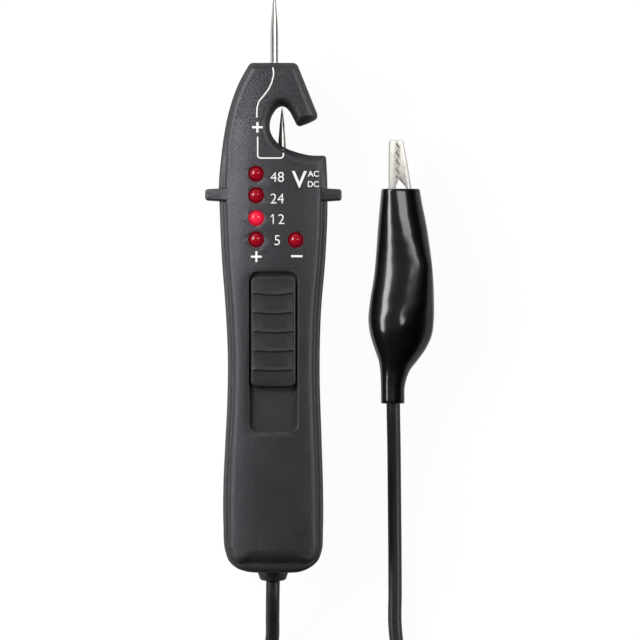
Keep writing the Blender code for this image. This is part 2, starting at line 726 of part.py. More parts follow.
def guide_tool():
    """The open trough on the rear shell in which the carrier and its spring run."""
    inner = CARRIER_HALF + GAP
    outer = inner + GUIDE_WALL
    section = [(-outer, BACK_WALL - 0.5), (outer, BACK_WALL - 0.5), (outer, GUIDE_TOP_Z),
               (inner, GUIDE_TOP_Z), (inner, CARRIER_BED_Z), (-inner, CARRIER_BED_Z),
               (-inner, GUIDE_TOP_Z), (-outer, GUIDE_TOP_Z)]
    bm = bmesh.new()
    low_y = GUIDE_LOW_Y - GUIDE_WALL / 2
    face = bm.faces.new([bm.verts.new((CARRIER_X + x, low_y, z)) for x, z in section])
    made = bmesh.ops.extrude_face_region(bm, geom=[face])
    moved = [item for item in made["geom"] if isinstance(item, bmesh.types.BMVert)]
    bmesh.ops.translate(bm, verts=moved, vec=(0.0, GUIDE_HIGH_Y - low_y, 0.0))
    return cutter("add_guide", bm)


def guide_end_tool():
    """The trough's closed end, which the spring pushes against."""
    outer = CARRIER_HALF + GAP + GUIDE_WALL / 2
    return cutter("add_guide_end", box_mesh(
        (CARRIER_X - outer, GUIDE_LOW_Y - GUIDE_WALL, BACK_WALL - 0.4),
        (CARRIER_X + outer, GUIDE_LOW_Y, GUIDE_TOP_Z - 0.1)))


def build_housing():
    """Both shells with their shared hollow, bosses, wings, track, lamp holes and screw holes."""
    front = to_object("front_shell", front_mesh(), HOUSING_PLASTIC)
    rear = to_object("rear_shell", rear_mesh(), HOUSING_PLASTIC)
    front_low = SEAM_Z + GAP / 2
    rear_top = SEAM_Z - GAP / 2
    for side, word in ((-1, "left"), (1, "right")):
        cut(front, cutter("wing_front_" + word, wing_mesh(side, front_low, WING_TOP_Z, WING_TOP_Z)),
            "UNION")
        cut(rear, cutter("wing_rear_" + word, wing_mesh(side, WING_BACK_Z, rear_top, WING_BACK_Z)),
            "UNION")
    shared = shared_cutters()
    for tool in shared[:1]:
        cut(front, tool)
        cut(rear, tool)
    cut(rear, guide_tool(), "UNION")
    cut(rear, guide_end_tool(), "UNION")
    low_x, low_y = SCREWS["shell_screw_low"]
    cut(rear, cutter("add_rear_boss", rod_mesh(
        BOSS_RADIUS, (low_x, low_y, BACK_WALL - 0.5), (low_x, low_y, rear_top), 20)), "UNION")
    cut(front, cutter("add_front_boss", rod_mesh(
        BOSS_RADIUS, (low_x, low_y, front_low), (low_x, low_y, ROOF_Z + 0.5), 20)), "UNION")
    for tool in shared[1:]:
        cut(front, tool)
        cut(rear, tool)
    cut(front, cutter("cut_track", plate_mesh(rounded_box(
        -TRACK_X, TRACK_X, TRACK_LOW_Y, TRACK_HIGH_Y, TRACK_RADIUS), TRACK_FLOOR_Z, CROWN_Z + 2.0)))
    half_slot = STEM_WIDTH / 2 + GAP
    cut(front, cutter("cut_slot", box_mesh(
        (-half_slot, STEM_LOW_Y - SLIDE_TRAVEL - GAP, ROOF_Z - 1.0),
        (half_slot, STEM_HIGH_Y + GAP, TRACK_FLOOR_Z + 1.0))))
    for name, (x, y) in LEDS.items():
        cut(front, cutter("hole_" + name, rod_mesh(
            LED_RADIUS + LED_HOLE_CLEAR, (x, y, ROOF_Z - 1.0), (x, y, CROWN_Z + 1.0), 24)))
    for name, (x, y) in SCREWS.items():
        shank = cutter("shank_" + name, rod_mesh(
            SCREW_RADIUS + GAP, (x, y, SCREW_SINK - 1.0), (x, y, SCREW_TOP_Z + GAP), 16))
        cut(rear, shank)
        cut(front, shank)
        cut(rear, cutter("sink_" + name, rod_mesh(
            SCREW_HEAD_RADIUS + GAP, (x, y, -1.0), (x, y, SCREW_SINK), 24)))


def build_screws():
    """Pan-head screws sunk in the back, with a cross slot."""
    for name, (x, y) in SCREWS.items():
        head_top = SCREW_SINK - GAP
        head_low = head_top - SCREW_HEAD_HEIGHT
        profile = [(0.0, head_low), (SCREW_HEAD_RADIUS * 0.7, head_low),
                   (SCREW_HEAD_RADIUS, head_low + 0.45), (SCREW_HEAD_RADIUS, head_top),
                   (SCREW_RADIUS, head_top), (SCREW_RADIUS, SCREW_TOP_Z - 1.0), (0.0, SCREW_TOP_Z)]
        screw = turned_piece(name, profile, (x, y, 0.0), NICKEL, axis="Z", sides=20)
        arm = SCREW_HEAD_RADIUS * 0.62
        half = SCREW_SLOT / 2
        cut(screw, cutter("cross_x_" + name, box_mesh(
            (x - arm, y - half, head_low - 0.5), (x + arm, y + half, head_low + 0.7))))
        cut(screw, cutter("cross_y_" + name, box_mesh(
            (x - half, y - arm, head_low - 0.5), (x + half, y + arm, head_low + 0.7))))


def build_slide():
    """The thumb slide with its arched ribs, its carrier and the needle."""
    low_z = TRACK_FLOOR_Z + GAP
    half = SLIDE_WIDTH / 2
    bm = plate_mesh(rounded_box(-half, half, SLIDE_LOW_Y, SLIDE_HIGH_Y, SLIDE_RADIUS), low_z, SLIDE_TOP_Z)
    top = [e for e in bm.edges if all(abs(v.co.z - SLIDE_TOP_Z) < 1e-6 for v in e.verts)]
    bmesh.ops.bevel(bm, geom=top, offset=SLIDE_EDGE, segments=2, profile=0.5, affect="EDGES",
                    offset_type="OFFSET", material=-1)
    slide = to_object("thumb_slide", bm, SLIDE_PLASTIC, SLIDE_ROOT)
    for index in range(RIB_COUNT):
        y = RIB_TOP_Y - RIB_PITCH * index
        sag = RIB_SAG * (1 - 0.13 * index)
        cut(slide, cutter("rib_%d" % (index + 1), rib_mesh(y, sag), SLIDE_ROOT), "UNION")
    stem = STEM_WIDTH / 2
    cut(slide, cutter("cut_socket", box_mesh(
        (-stem - GAP, STEM_LOW_Y - GAP, low_z - 1.0), (stem + GAP, STEM_HIGH_Y + GAP, low_z + SOCKET_DEPTH)),
        SLIDE_ROOT))
    carrier = to_object("needle_carrier", box_mesh(
        (CARRIER_X - CARRIER_HALF, CARRIER_LOW_Y, CARRIER_BED_Z + GAP),
        (CARRIER_X + CARRIER_HALF, CARRIER_HIGH_Y, ROOF_Z - GAP)), SLIDE_PLASTIC, SLIDE_ROOT)
    edges = carrier.modifiers.new("edges", "BEVEL")
    edges.width = 0.3 * MM
    edges.segments = 1
    cut(carrier, cutter("add_stem", box_mesh(
        (-stem, STEM_LOW_Y, ROOF_Z - 2.0), (stem, STEM_HIGH_Y, low_z + SOCKET_DEPTH - GAP)), SLIDE_ROOT),
        "UNION")
    cut(carrier, cutter("cut_needle_seat", rod_mesh(
        NEEDLE_RADIUS + GAP, (NEEDLE_X, NEEDLE_TAIL_Y - GAP, SEAM_Z),
        (NEEDLE_X, CARRIER_HIGH_Y + 1.0, SEAM_Z), 16), SLIDE_ROOT))
    length = NEEDLE_TIP_Y - NEEDLE_TAIL_Y
    profile = [(0.0, length), (NEEDLE_TIP_RADIUS, length - 0.12),
               (NEEDLE_RADIUS * 0.55, length - NEEDLE_CONE * 0.5),
               (NEEDLE_RADIUS, length - NEEDLE_CONE), (NEEDLE_RADIUS, 0.0), (0.0, 0.0)]
    turned_piece("piercing_needle", profile, (NEEDLE_X, NEEDLE_TAIL_Y, SEAM_Z), NICKEL, SLIDE_ROOT)


def rib_mesh(y, sag):
    """One raised rib of the slide: a bar that sags in the middle, like a shallow smile."""
    steps = 8
    upper = []
    lower = []
    for step in range(steps + 1):
        x = -RIB_REACH_X + 2 * RIB_REACH_X * step / steps
        bend = y - sag * (1 - (x / RIB_REACH_X) ** 2)
        upper.append((x, bend + RIB_WIDTH / 2))
        lower.append((x, bend - RIB_WIDTH / 2))
    bm = plate_mesh(lower + upper[::-1], SLIDE_TOP_Z - 0.5, SLIDE_TOP_Z + RIB_HEIGHT)
    top_z = SLIDE_TOP_Z + RIB_HEIGHT
    top = [e for e in bm.edges if all(abs(v.co.z - top_z) < 1e-6 for v in e.verts)]
    bmesh.ops.bevel(bm, geom=top, offset=0.18, segments=1, profile=0.5, affect="EDGES",
                    offset_type="OFFSET", material=-1)
    return bm


def build_spring():
    """The compression spring between the trough's end and the carrier."""
    start = GUIDE_LOW_Y + GAP + SPRING_WIRE / 2
    end = CARRIER_LOW_Y - GAP - SPRING_WIRE / 2
    count = SPRING_TURNS * 8
    points = []
    for step in range(count + 1):
        t = step / count
        eased = t + 0.5 / SPRING_TURNS * math.sin(4 * math.pi * t) / math.pi
        angle = 2 * math.pi * SPRING_TURNS * t
        points.append((CARRIER_X + SPRING_RADIUS * math.cos(angle), start + (end - start) * eased,
                       SEAM_Z + GAP + SPRING_RADIUS * math.sin(angle)))
    tube_object("needle_spring", points, SPRING_WIRE / 2, NICKEL, 1)


def build_probe():
    """The fixed probe: a round pin with a collar in the head and a blunt tapered point."""
    length = PROBE_TIP_Y - PROBE_TAIL_Y
    taper = PROBE_TAPER_Y - PROBE_TAIL_Y
    collar_low = PROBE_COLLAR_LOW_Y - PROBE_TAIL_Y
    collar_high = PROBE_COLLAR_HIGH_Y - PROBE_TAIL_Y
    profile = [(0.0, length), (PROBE_END_RADIUS * 0.6, length - 0.07), (PROBE_END_RADIUS, length - 0.35),
               (PROBE_RADIUS * 0.93, taper + 1.0), (PROBE_RADIUS, taper), (PROBE_RADIUS, collar_high),
               (PROBE_COLLAR_RADIUS, collar_high), (PROBE_COLLAR_RADIUS, collar_low),
               (PROBE_RADIUS, collar_low), (PROBE_RADIUS, 0.0), (0.0, 0.0)]
    turned_piece("probe_tip", profile, (PROBE_X, PROBE_TAIL_Y, SEAM_Z), NICKEL)


def build_electronics():
    """The board, its lamps, chip, resistors and the two contact strips."""
    board_low = BOARD_TOP_Z - BOARD_THICK
    board = to_object("circuit_board", box_mesh(
        (-BOARD_HALF, BOARD_LOW_Y, board_low), (BOARD_HALF, BOARD_HIGH_Y, BOARD_TOP_Z)), BOARD_GREEN)
    corners = board.modifiers.new("corners", "BEVEL")
    corners.width = 0.3 * MM
    corners.segments = 1
    for name, (x, y) in LEDS.items():
        base = BOARD_TOP_Z + GAP
        top = crown(x, y) + LED_PROUD - base
        dome = top - LED_RADIUS
        profile = [(0.0, top)]
        for step in range(1, 5):
            angle = math.pi / 2 * step / 4
            profile.append((LED_RADIUS * math.sin(angle), dome + LED_RADIUS * math.cos(angle)))
        profile += [(LED_RADIUS, LED_FLANGE_HEIGHT), (LED_FLANGE_RADIUS, LED_FLANGE_HEIGHT),
                    (LED_FLANGE_RADIUS, 0.0), (0.0, 0.0)]
        lens = LIT_LENS if name == "led_12" else RED_LENS
        turned_piece(name, profile, (x, y, base), lens, axis="Z", sides=18)
    x, y = CHIP_AT
    low = BOARD_TOP_Z + GAP
    to_object("driver_chip", box_mesh((x - CHIP_SIZE[0] / 2, y - CHIP_SIZE[1] / 2, low),
                                      (x + CHIP_SIZE[0] / 2, y + CHIP_SIZE[1] / 2, low + CHIP_HEIGHT)),
              CHIP_BLACK)
    high = board_low - GAP
    for index in range(RESISTOR_COUNT):
        y = RESISTOR_LOW_Y + RESISTOR_PITCH * index
        to_object("resistor_%d" % (index + 1), box_mesh(
            (RESISTOR_X - RESISTOR_SIZE[0] / 2, y - RESISTOR_SIZE[1] / 2, high - RESISTOR_HEIGHT),
            (RESISTOR_X + RESISTOR_SIZE[0] / 2, y + RESISTOR_SIZE[1] / 2, high)), CHIP_BLACK)
    build_contacts(board_low)


def build_contacts(board_low):
    """The strip from the probe round the hook to the board, and the leaf that touches the needle."""
    half = STRIP_WIDTH / 2
    tail = PROBE_TAIL_Y - GAP
    low_z = SEAM_Z - STRIP_THICK / 2
    high_z = SEAM_Z + STRIP_THICK / 2
    flat = [(PROBE_X + half, tail), (STRIP_X - half, tail), (STRIP_X - half, BOARD_HIGH_Y - 3.0),
            (STRIP_X + half, BOARD_HIGH_Y - 3.0), (STRIP_X + half, tail - STRIP_WIDTH),
            (PROBE_X + half, tail - STRIP_WIDTH)]
    strip = to_object("probe_contact", plate_mesh(flat, low_z, high_z), NICKEL)
    foot = cutter("add_strip_foot", box_mesh(
        (STRIP_X - half, BOARD_HIGH_Y - 3.0, low_z + 0.1),
        (STRIP_X + half, BOARD_HIGH_Y - 3.0 + STRIP_THICK, board_low - GAP)))
    cut(strip, foot, "UNION")
    needle_top = SEAM_Z + NEEDLE_RADIUS + GAP
    profile = [(LEAF_LOW_Y, board_low - GAP), (LEAF_LOW_Y + 2.0, board_low - GAP),
               (LEAF_LOW_Y + 5.0, needle_top + STRIP_THICK), (LEAF_LOW_Y + 7.0, needle_top + STRIP_THICK),
               (LEAF_LOW_Y + 8.0, needle_top + 2 * STRIP_THICK),
               (LEAF_LOW_Y + 8.0, needle_top + STRIP_THICK + 0.1), (LEAF_LOW_Y + 7.1, needle_top),
               (LEAF_LOW_Y + 4.8, needle_top), (LEAF_LOW_Y + 1.8, board_low - GAP - STRIP_THICK),
               (LEAF_LOW_Y, board_low - GAP - STRIP_THICK)]
    bm = bmesh.new()
    face = bm.faces.new([bm.verts.new((NEEDLE_X - half, y, z)) for y, z in profile])
    made = bmesh.ops.extrude_face_region(bm, geom=[face])
    moved = [item for item in made["geom"] if isinstance(item, bmesh.types.BMVert)]
    bmesh.ops.translate(bm, verts=moved, vec=(STRIP_WIDTH, 0.0, 0.0))
    to_object("needle_contact", bm, NICKEL)


def build_lead():
    """The grommet, the lead's inner end, its two free runs, its coil and the tie."""
    bore = LEAD_RADIUS + GAP
    flange = WALL + GAP
    profile = [(bore, -GROMMET_OUT), (bore, flange + GROMMET_FLANGE),
               (GROMMET_FLANGE_RADIUS, flange + GROMMET_FLANGE), (GROMMET_FLANGE_RADIUS, flange),
               (GROMMET_NECK_RADIUS, flange), (GROMMET_NECK_RADIUS, -GAP), (GROMMET_RADIUS, -GAP),
               (GROMMET_END_RADIUS + 0.1, -GROMMET_OUT + 0.3), (GROMMET_END_RADIUS - 0.3, -GROMMET_OUT)]
    turned_piece("cable_grommet", profile, (LEAD_X, 0.0, SEAM_Z), LEAD_VINYL)
    inner = smooth_points([(LEAD_X, -GROMMET_OUT, SEAM_Z)] + INNER_LEAD_KNOTS, 4)
    tube_object("inner_lead", inner, LEAD_RADIUS, LEAD_VINYL)
    tube_object("cord_tester_run", smooth_points(TESTER_RUN, 3), LEAD_RADIUS, LEAD_VINYL)
    tube_object("cord_clip_run", smooth_points(CLIP_RUN, 3), LEAD_RADIUS, LEAD_VINYL)
    build_coil()


def coil_half_width():
    """Half the width of the wound band: one step a turn, over one layer's turns."""
    turns = coil_turns() / COIL_LAYERS
    return turns * COIL_PITCH / 2


def coil_turns():
    """Turns that take up the length that the two free runs leave."""
    runs = sum((b - a).length for line in (TESTER_RUN, CLIP_RUN)
               for a, b in zip(smooth_points(line, 8), smooth_points(line, 8)[1:]))
    part = (COIL_LEAVE_DEG - COIL_ENTRY_DEG) / 360.0
    whole = round((LEAD_LENGTH - runs) / (2 * math.pi * COIL_MEAN_RADIUS) - part)
    return whole + part


def build_coil():
    """The outer shape of the wound lead, relieved under its tie, and the tie round it."""
    half = coil_half_width() + LEAD_RADIUS
    inner = COIL_MEAN_RADIUS - half
    outer = COIL_MEAN_RADIUS + half
    lift = TIE_THICK + GAP
    top = COIL_LAYERS * COIL_PITCH + lift
    round_off = 0.8
    profile = [(inner, round_off), (inner + round_off, 0.0), (outer - round_off, 0.0),
               (outer, round_off), (outer, top - round_off), (outer - round_off, top),
               (inner + round_off, top), (inner, top - round_off)]
    x, y = COIL_CENTRE
    ring = turned_piece("cord_coil", profile, (x, y, 0.0), LEAD_VINYL, axis="Z", sides=44)
    half_tie = TIE_WIDTH / 2
    cut(ring, cutter("cut_tie_relief", box_mesh(
        (x - half_tie - 1.0, y - outer - 2.0, -1.0), (x + half_tie + 1.0, y - inner + 2.0, lift))))
    low_y = y - outer - GAP
    high_y = y - math.sqrt(inner ** 2 - half_tie ** 2) + GAP
    band_top = top + GAP
    tie = to_object("coil_tie", box_mesh(
        (x - half_tie, low_y - TIE_THICK, 0.0), (x + half_tie, high_y + TIE_THICK, band_top + TIE_THICK)),
        LEAD_VINYL)
    edges = tie.modifiers.new("edges", "BEVEL")
    edges.width = 0.35 * MM
    edges.segments = 1
    cut(tie, cutter("cut_tie", box_mesh(
        (x - half_tie - 1.0, low_y, TIE_THICK), (x + half_tie + 1.0, high_y, band_top))))


def teeth():
    """The zigzag edge of either jaw, from its tip to its heel."""
    points = []
    for index in range(2 * TOOTH_COUNT, -1, -1):
        x = TOOTH_LINE_X + TOOTH_DEPTH * (0.5 if index % 2 else -0.5)
        points.append((x, TOOTH_LOW_Y + TOOTH_PITCH * index / 2))
    return points


def ear(start_deg, end_deg, steps=6):
    """Points of the round ear about the rivet."""
    points = []
    for step in range(steps + 1):
        angle = math.radians(start_deg + (end_deg - start_deg) * step / steps)
        points.append((PIVOT[0] + EAR_RADIUS * math.cos(angle), PIVOT[1] + EAR_RADIUS * math.sin(angle)))
    return points


def build_fixed_jaw():
    """The jaw that the lead is crimped to: a folded channel with teeth, and a barrel at its end."""
    outer = [(22.9, CRIMP_HIGH_Y - 0.8), (21.6, 49.8), (20.9, 53.0), (21.2, 57.5), (22.1, 62.5),
             (22.9, 68.0), (23.4, 74.0), (23.5, 79.0), (23.6, 87.2), (23.9, JAW_TIP_Y)]
    inner = ([(25.0, JAW_TIP_Y)] + teeth() + [(24.9, 79.3), (25.2, 74.0), (26.2, 70.2)]
             + ear(60, -115) + [(23.5, 61.0), (22.9, 57.0), (22.5, 53.0), (23.0, 50.5),
                                (24.2, CRIMP_HIGH_Y - 0.8)])
    jaw = to_object("clip_fixed_jaw", plate_mesh(inner + outer, CLIP_Z - FIXED_HALF, CLIP_Z + FIXED_HALF),
                    NICKEL)
    cut(jaw, cutter("channel_fixed", channel_mesh(outer, 1, FIXED_HALF)))
    lead = (24.5, CLIP_Z)
    barrel = LEAD_RADIUS + GAP + CRIMP_WALL
    cut(jaw, cutter("add_crimp", rod_mesh(barrel, (lead[0], CRIMP_LOW_Y, lead[1]),
                                          (lead[0], CRIMP_HIGH_Y, lead[1]), 20)), "UNION")
    cut(jaw, cutter("cut_crimp", rod_mesh(LEAD_RADIUS + GAP, (lead[0], CRIMP_LOW_Y - 1.0, lead[1]),
                                          (lead[0], CRIMP_HIGH_Y + 1.2, lead[1]), 16)))
    cut(jaw, cutter("rivet_hole_fixed", rivet_hole()))


def channel_mesh(outer, inward, half):
    """The hollow of a jaw: its outer edge moved inwards by the sheet, and everything beyond it."""
    moved = []
    for index, (x, y) in enumerate(outer):
        before = Vector(outer[max(index - 1, 0)])
        after = Vector(outer[min(index + 1, len(outer) - 1)])
        ahead = (after - before).normalized()
        moved.append((x + inward * ahead.y * SHEET, y - inward * ahead.x * SHEET))
    reach = 12.0 * inward
    low, high = moved[0], moved[-1]
    points = moved + [(high[0], high[1] + 2.0), (high[0] + reach, high[1] + 2.0),
                      (low[0] + reach, low[1] - 2.0), (low[0], low[1] - 2.0)]
    return plate_mesh(points, CLIP_Z - half + SHEET, CLIP_Z + half - SHEET)


def rivet_hole():
    """The hole for the rivet through both pairs of ears."""
    deep = MOVING_HALF + 1.0
    return rod_mesh(RIVET_RADIUS + GAP, (*PIVOT, CLIP_Z - deep), (*PIVOT, CLIP_Z + deep), 20)


def build_moving_jaw():
    """The jaw that opens: a wider channel over the first, with a thumb lever at its back."""
    outer = [(30.6, 49.6), (31.25, 53.5), (31.1, 58.0), (30.4, 63.0), (29.5, 68.0), (28.9, 73.0),
             (28.2, 78.5), (27.3, 84.0), (26.5, JAW_TIP_Y)]
    inner = ([(25.5, JAW_TIP_Y)] + teeth() + [(26.4, 79.3), (26.6, 75.0), (25.2, 71.0)]
             + ear(120, 290) + [(28.6, 61.0), (29.4, 57.5), (29.6, 53.5), (29.2, 50.0)])
    jaw = to_object("clip_moving_jaw", plate_mesh(inner + outer, CLIP_Z - MOVING_HALF,
                                                  CLIP_Z + MOVING_HALF), NICKEL, JAW_ROOT)
    cut(jaw, cutter("channel_moving", channel_mesh(outer[::-1], -1, MOVING_HALF), JAW_ROOT))
    cut(jaw, cutter("rivet_hole_moving", rivet_hole(), JAW_ROOT))


def build_rivet_and_torsion():
    """The rivet that both jaws turn on, and the spring round it that closes them."""
    inside = MOVING_HALF + GAP
    outside = inside + RIVET_HEAD
    profile = [(0.0, outside), (RIVET_HEAD_RADIUS * 0.6, outside), (RIVET_HEAD_RADIUS, inside + 0.15),
               (RIVET_HEAD_RADIUS, inside), (RIVET_RADIUS, inside), (RIVET_RADIUS, -inside),
               (RIVET_HEAD_RADIUS, -inside), (RIVET_HEAD_RADIUS, -inside - 0.15),
               (RIVET_HEAD_RADIUS * 0.6, -outside), (0.0, -outside)]
    turned_piece("clip_rivet", profile, (*PIVOT, CLIP_Z), NICKEL, axis="Z", sides=20)
    half_coil = 0.95
    start, turns = -130.0, 2 + 80.0 / 360.0
    coil = []
    for step in range(31):
        t = step / 30
        angle = math.radians(start + 360.0 * turns * t)
        coil.append((PIVOT[0] + TORSION_RADIUS * math.cos(angle), PIVOT[1] + TORSION_RADIUS * math.sin(angle),
                     CLIP_Z - half_coil + 2 * half_coil * t))
    left = [(22.6, 58.5, CLIP_Z - half_coil), (23.2, 61.5, CLIP_Z - half_coil)]
    right = [(29.3, 61.5, CLIP_Z + half_coil), (29.9, 58.5, CLIP_Z + half_coil)]
    tube_object("clip_spring", left + coil + right, TORSION_WIRE / 2, NICKEL, 1)


def boot_ring(section, shrink, count=26):
    """One rounded-square ring of the boot, smaller by its wall where it is the inside."""
    y, middle, half_x, half_z, power = section
    ring = []
    for step in range(count):
        angle = 2 * math.pi * step / count
        across, up = math.cos(angle), math.sin(angle)
        ring.append((middle + (half_x - shrink) * math.copysign(abs(across) ** (2 / power), across), y,
                     CLIP_Z + (half_z - shrink) * math.copysign(abs(up) ** (2 / power), up)))
    return ring


def build_boot():
    """The slip-on boot: one soft sleeve, open at the jaws and at the lead."""
    outer = [boot_ring(section, 0.0) for section in BOOT_SECTIONS]
    inner = [boot_ring(section, min(BOOT_WALL, section[3] - LEAD_RADIUS - GAP))
             for section in BOOT_SECTIONS]
    bm = bmesh.new()
    rings = outer + inner[::-1]
    layers = [[bm.verts.new(point) for point in ring] for ring in rings]
    for lower, upper in zip(layers, layers[1:] + layers[:1]):
        for index in range(len(lower)):
            following = (index + 1) % len(lower)
            bm.faces.new((lower[index], lower[following], upper[following], upper[index]))
    to_object("clip_boot", bm, BOOT_VINYL)


TESTER_RUN = [(LEAD_X, -GROMMET_OUT - GAP, SEAM_Z), (LEAD_X, -5.2, 7.0), (-0.2, -9.5, 4.4),
              (-0.4, -14.0, 2.1), (-1.9, -19.0, CORD_FLOOR_Z)]
CLIP_RUN = [(30.5, -23.0, CORD_FLOOR_Z), (26.6, -17.5, CORD_FLOOR_Z), (25.0, -11.0, CORD_FLOOR_Z),
            (24.9, -3.0, CORD_FLOOR_Z), (24.85, 6.0, 1.45), (24.75, 16.0, 2.2), (24.65, 26.0, 4.1),
            (24.5, 34.0, CLIP_Z), (24.5, 42.0, CLIP_Z), (24.5, 47.0, CLIP_Z)]


def main():
    """Build the whole tester."""
    build_housing()
    build_screws()
    build_slide()
    build_spring()
    build_probe()
    build_electronics()
    build_lead()
    build_fixed_jaw()
    build_moving_jaw()
    build_rivet_and_torsion()
    build_boot()


main()
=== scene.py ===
# %% [markdown]
# # A two-pole voltage tester on a white table
#
# The tester lies on its back: a black moulded housing with a hooked head, a probe tip, a thumb slide and
# five indicator lamps, and a lead that ends in a crocodile clip under a glossy black boot. The packed
# model gives the frame, and this file gives every surface its finish. Each piece is shaped in
# millimetres along the tester, from the housing's bottom end, and moved to the frame when it is finished.

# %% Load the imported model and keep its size
import math

import bmesh
import bpy
from mathutils import Matrix, Vector
from mathutils.bvhtree import BVHTree


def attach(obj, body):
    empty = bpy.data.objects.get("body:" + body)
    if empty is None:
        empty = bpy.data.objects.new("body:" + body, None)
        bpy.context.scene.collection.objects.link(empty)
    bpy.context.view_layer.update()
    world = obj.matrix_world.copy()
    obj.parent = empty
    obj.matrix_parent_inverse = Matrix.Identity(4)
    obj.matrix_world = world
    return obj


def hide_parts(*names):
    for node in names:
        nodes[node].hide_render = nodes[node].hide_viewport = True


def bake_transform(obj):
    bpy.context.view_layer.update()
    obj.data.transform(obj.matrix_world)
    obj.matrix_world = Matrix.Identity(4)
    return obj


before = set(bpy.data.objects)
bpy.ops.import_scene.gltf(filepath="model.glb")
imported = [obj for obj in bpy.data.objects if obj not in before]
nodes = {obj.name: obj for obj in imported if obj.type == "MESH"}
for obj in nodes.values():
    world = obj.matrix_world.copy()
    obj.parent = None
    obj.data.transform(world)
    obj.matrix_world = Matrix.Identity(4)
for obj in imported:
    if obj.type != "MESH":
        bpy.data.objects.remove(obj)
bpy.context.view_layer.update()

MM = 0.001
ROW_SHIFT = Vector((0.0, -57.685, 0.0))


def in_frame(x, y, z):
    """A place given in the tester's millimetres, in the frame's metres."""
    return (Vector((x, y, z)) + ROW_SHIFT) * MM


# %% [markdown]
# ## The view
#
# The photograph was taken straight down with a long lens, so nothing leans and the far end is as large as
# the near end. A camera well over two metres up with a very long lens sees a square of 131 mm, a little to
# the right of the housing so that the clip is in the picture.

# %% Camera
VIEW_CENTRE = (9.51, 51.6, 12.0)
VIEW_WIDTH = 130.6
CAMERA_HEIGHT = 2400.0

camera = bpy.data.objects.new("camera", bpy.data.cameras.new("camera"))
camera.data.sensor_width = 36.0
camera.data.lens = 36.0 * CAMERA_HEIGHT / VIEW_WIDTH
camera.data.clip_start = 0.05
camera.data.clip_end = 10.0
camera.location = in_frame(VIEW_CENTRE[0], VIEW_CENTRE[1], VIEW_CENTRE[2] + CAMERA_HEIGHT)
bpy.context.scene.collection.objects.link(camera)
bpy.context.scene.camera = camera
print("lens:", round(camera.data.lens, 1), "mm")

# %% [markdown]
# ## The lead's route
#
# The lead is one metre of round flexible cable. A cable can't be drawn as any pretty line: its length is
# given, so the part that the view doesn't show has to be somewhere. It leaves the grommet, comes down to
# the table, and goes into a round coil of two layers just below the view. From there it runs up to the
# clip. A smooth curve through a few places makes the two free runs, and a formula for the radius makes
# the coil. The coil's inner radius is what the search below changes until the whole is one metre long.

# %% A smooth line through a few places
LEAD_LENGTH = 1000.0
LEAD_RADIUS = 1.4


def smooth_line(knots, per_span):
    """Samples of a smooth curve through knots. Slopes are weighted by the spans' lengths."""
    knots = [Vector(knot) for knot in knots]
    spans = [(after - before).length for before, after in zip(knots, knots[1:])]
    chords = [(after - before) / span for before, after, span in zip(knots, knots[1:], spans)]
    slopes = [chords[0]]
    for index in range(1, len(knots) - 1):
        before, after = spans[index - 1], spans[index]
        slopes.append((chords[index] * before + chords[index - 1] * after) / (before + after))
    slopes.append(chords[-1])
    points = []
    for index, span in enumerate(spans):
        for step in range(per_span):
            t = step / per_span
            points.append((2 * t ** 3 - 3 * t ** 2 + 1) * knots[index]
                          + (t ** 3 - 2 * t ** 2 + t) * span * slopes[index]
                          + (3 * t ** 2 - 2 * t ** 3) * knots[index + 1]
                          + (t ** 3 - t ** 2) * span * slopes[index + 1])
    points.append(knots[-1])
    return points


def smoothstep(low, high, value):
    """Runs smoothly from 0 at low to 1 at high, which may be the smaller number."""
    t = min(max((value - low) / (high - low), 0.0), 1.0)
    return t * t * (3 - 2 * t)


# %% The coil and the whole route
COIL_CENTRE = (11.5, -40.5)
COIL_PITCH = 2.85
COIL_TURNS = 9.0 - 126.0 / 360.0
COIL_START_DEG = 150.0
COIL_STEPS = 26
COIL_LEAVE = 0.9
LAYER_TURN = 0.2
TIE_LIFT = 0.9

FROM_TESTER = [(-0.1, -1.75, 7.65), (-0.15, -5.2, 7.0), (-0.2, -9.5, 4.4), (-0.3, -14.0, 2.1),
               (-1.5, -19.0, LEAD_RADIUS)]
TO_CLIP = [(29.3, -23.5, LEAD_RADIUS), (26.0, -18.0, LEAD_RADIUS), (24.95, -12.0, LEAD_RADIUS),
           (24.9, -4.0, LEAD_RADIUS), (24.85, 6.0, 1.45), (24.75, 16.0, 2.2), (24.65, 26.0, 4.1),
           (24.5, 34.0, 5.6), (24.5, 42.0, 5.6), (24.5, 47.0, 5.6)]


def coil_point(turn, inner_radius):
    """A place on the coil: inwards on the table, up, and outwards again on top of the first layer."""
    half = COIL_TURNS / 2
    radius = inner_radius + COIL_PITCH * (math.sqrt((turn - half) ** 2 + LAYER_TURN ** 2) - LAYER_TURN)
    radius += COIL_LEAVE * smoothstep(COIL_TURNS - LAYER_TURN, COIL_TURNS, turn)
    height = LEAD_RADIUS + COIL_PITCH * smoothstep(half - LAYER_TURN, half + LAYER_TURN, turn)
    height -= COIL_PITCH * smoothstep(COIL_TURNS - 0.22, COIL_TURNS + 0.02, turn)
    angle = math.radians(COIL_START_DEG + 360.0 * turn)
    x = COIL_CENTRE[0] + radius * math.cos(angle)
    y = COIL_CENTRE[1] + radius * math.sin(angle)
    across = abs(x - COIL_CENTRE[0]) if y < COIL_CENTRE[1] else 99.0
    return Vector((x, y, height + TIE_LIFT * (1.0 - smoothstep(3.0, 9.0, across))))


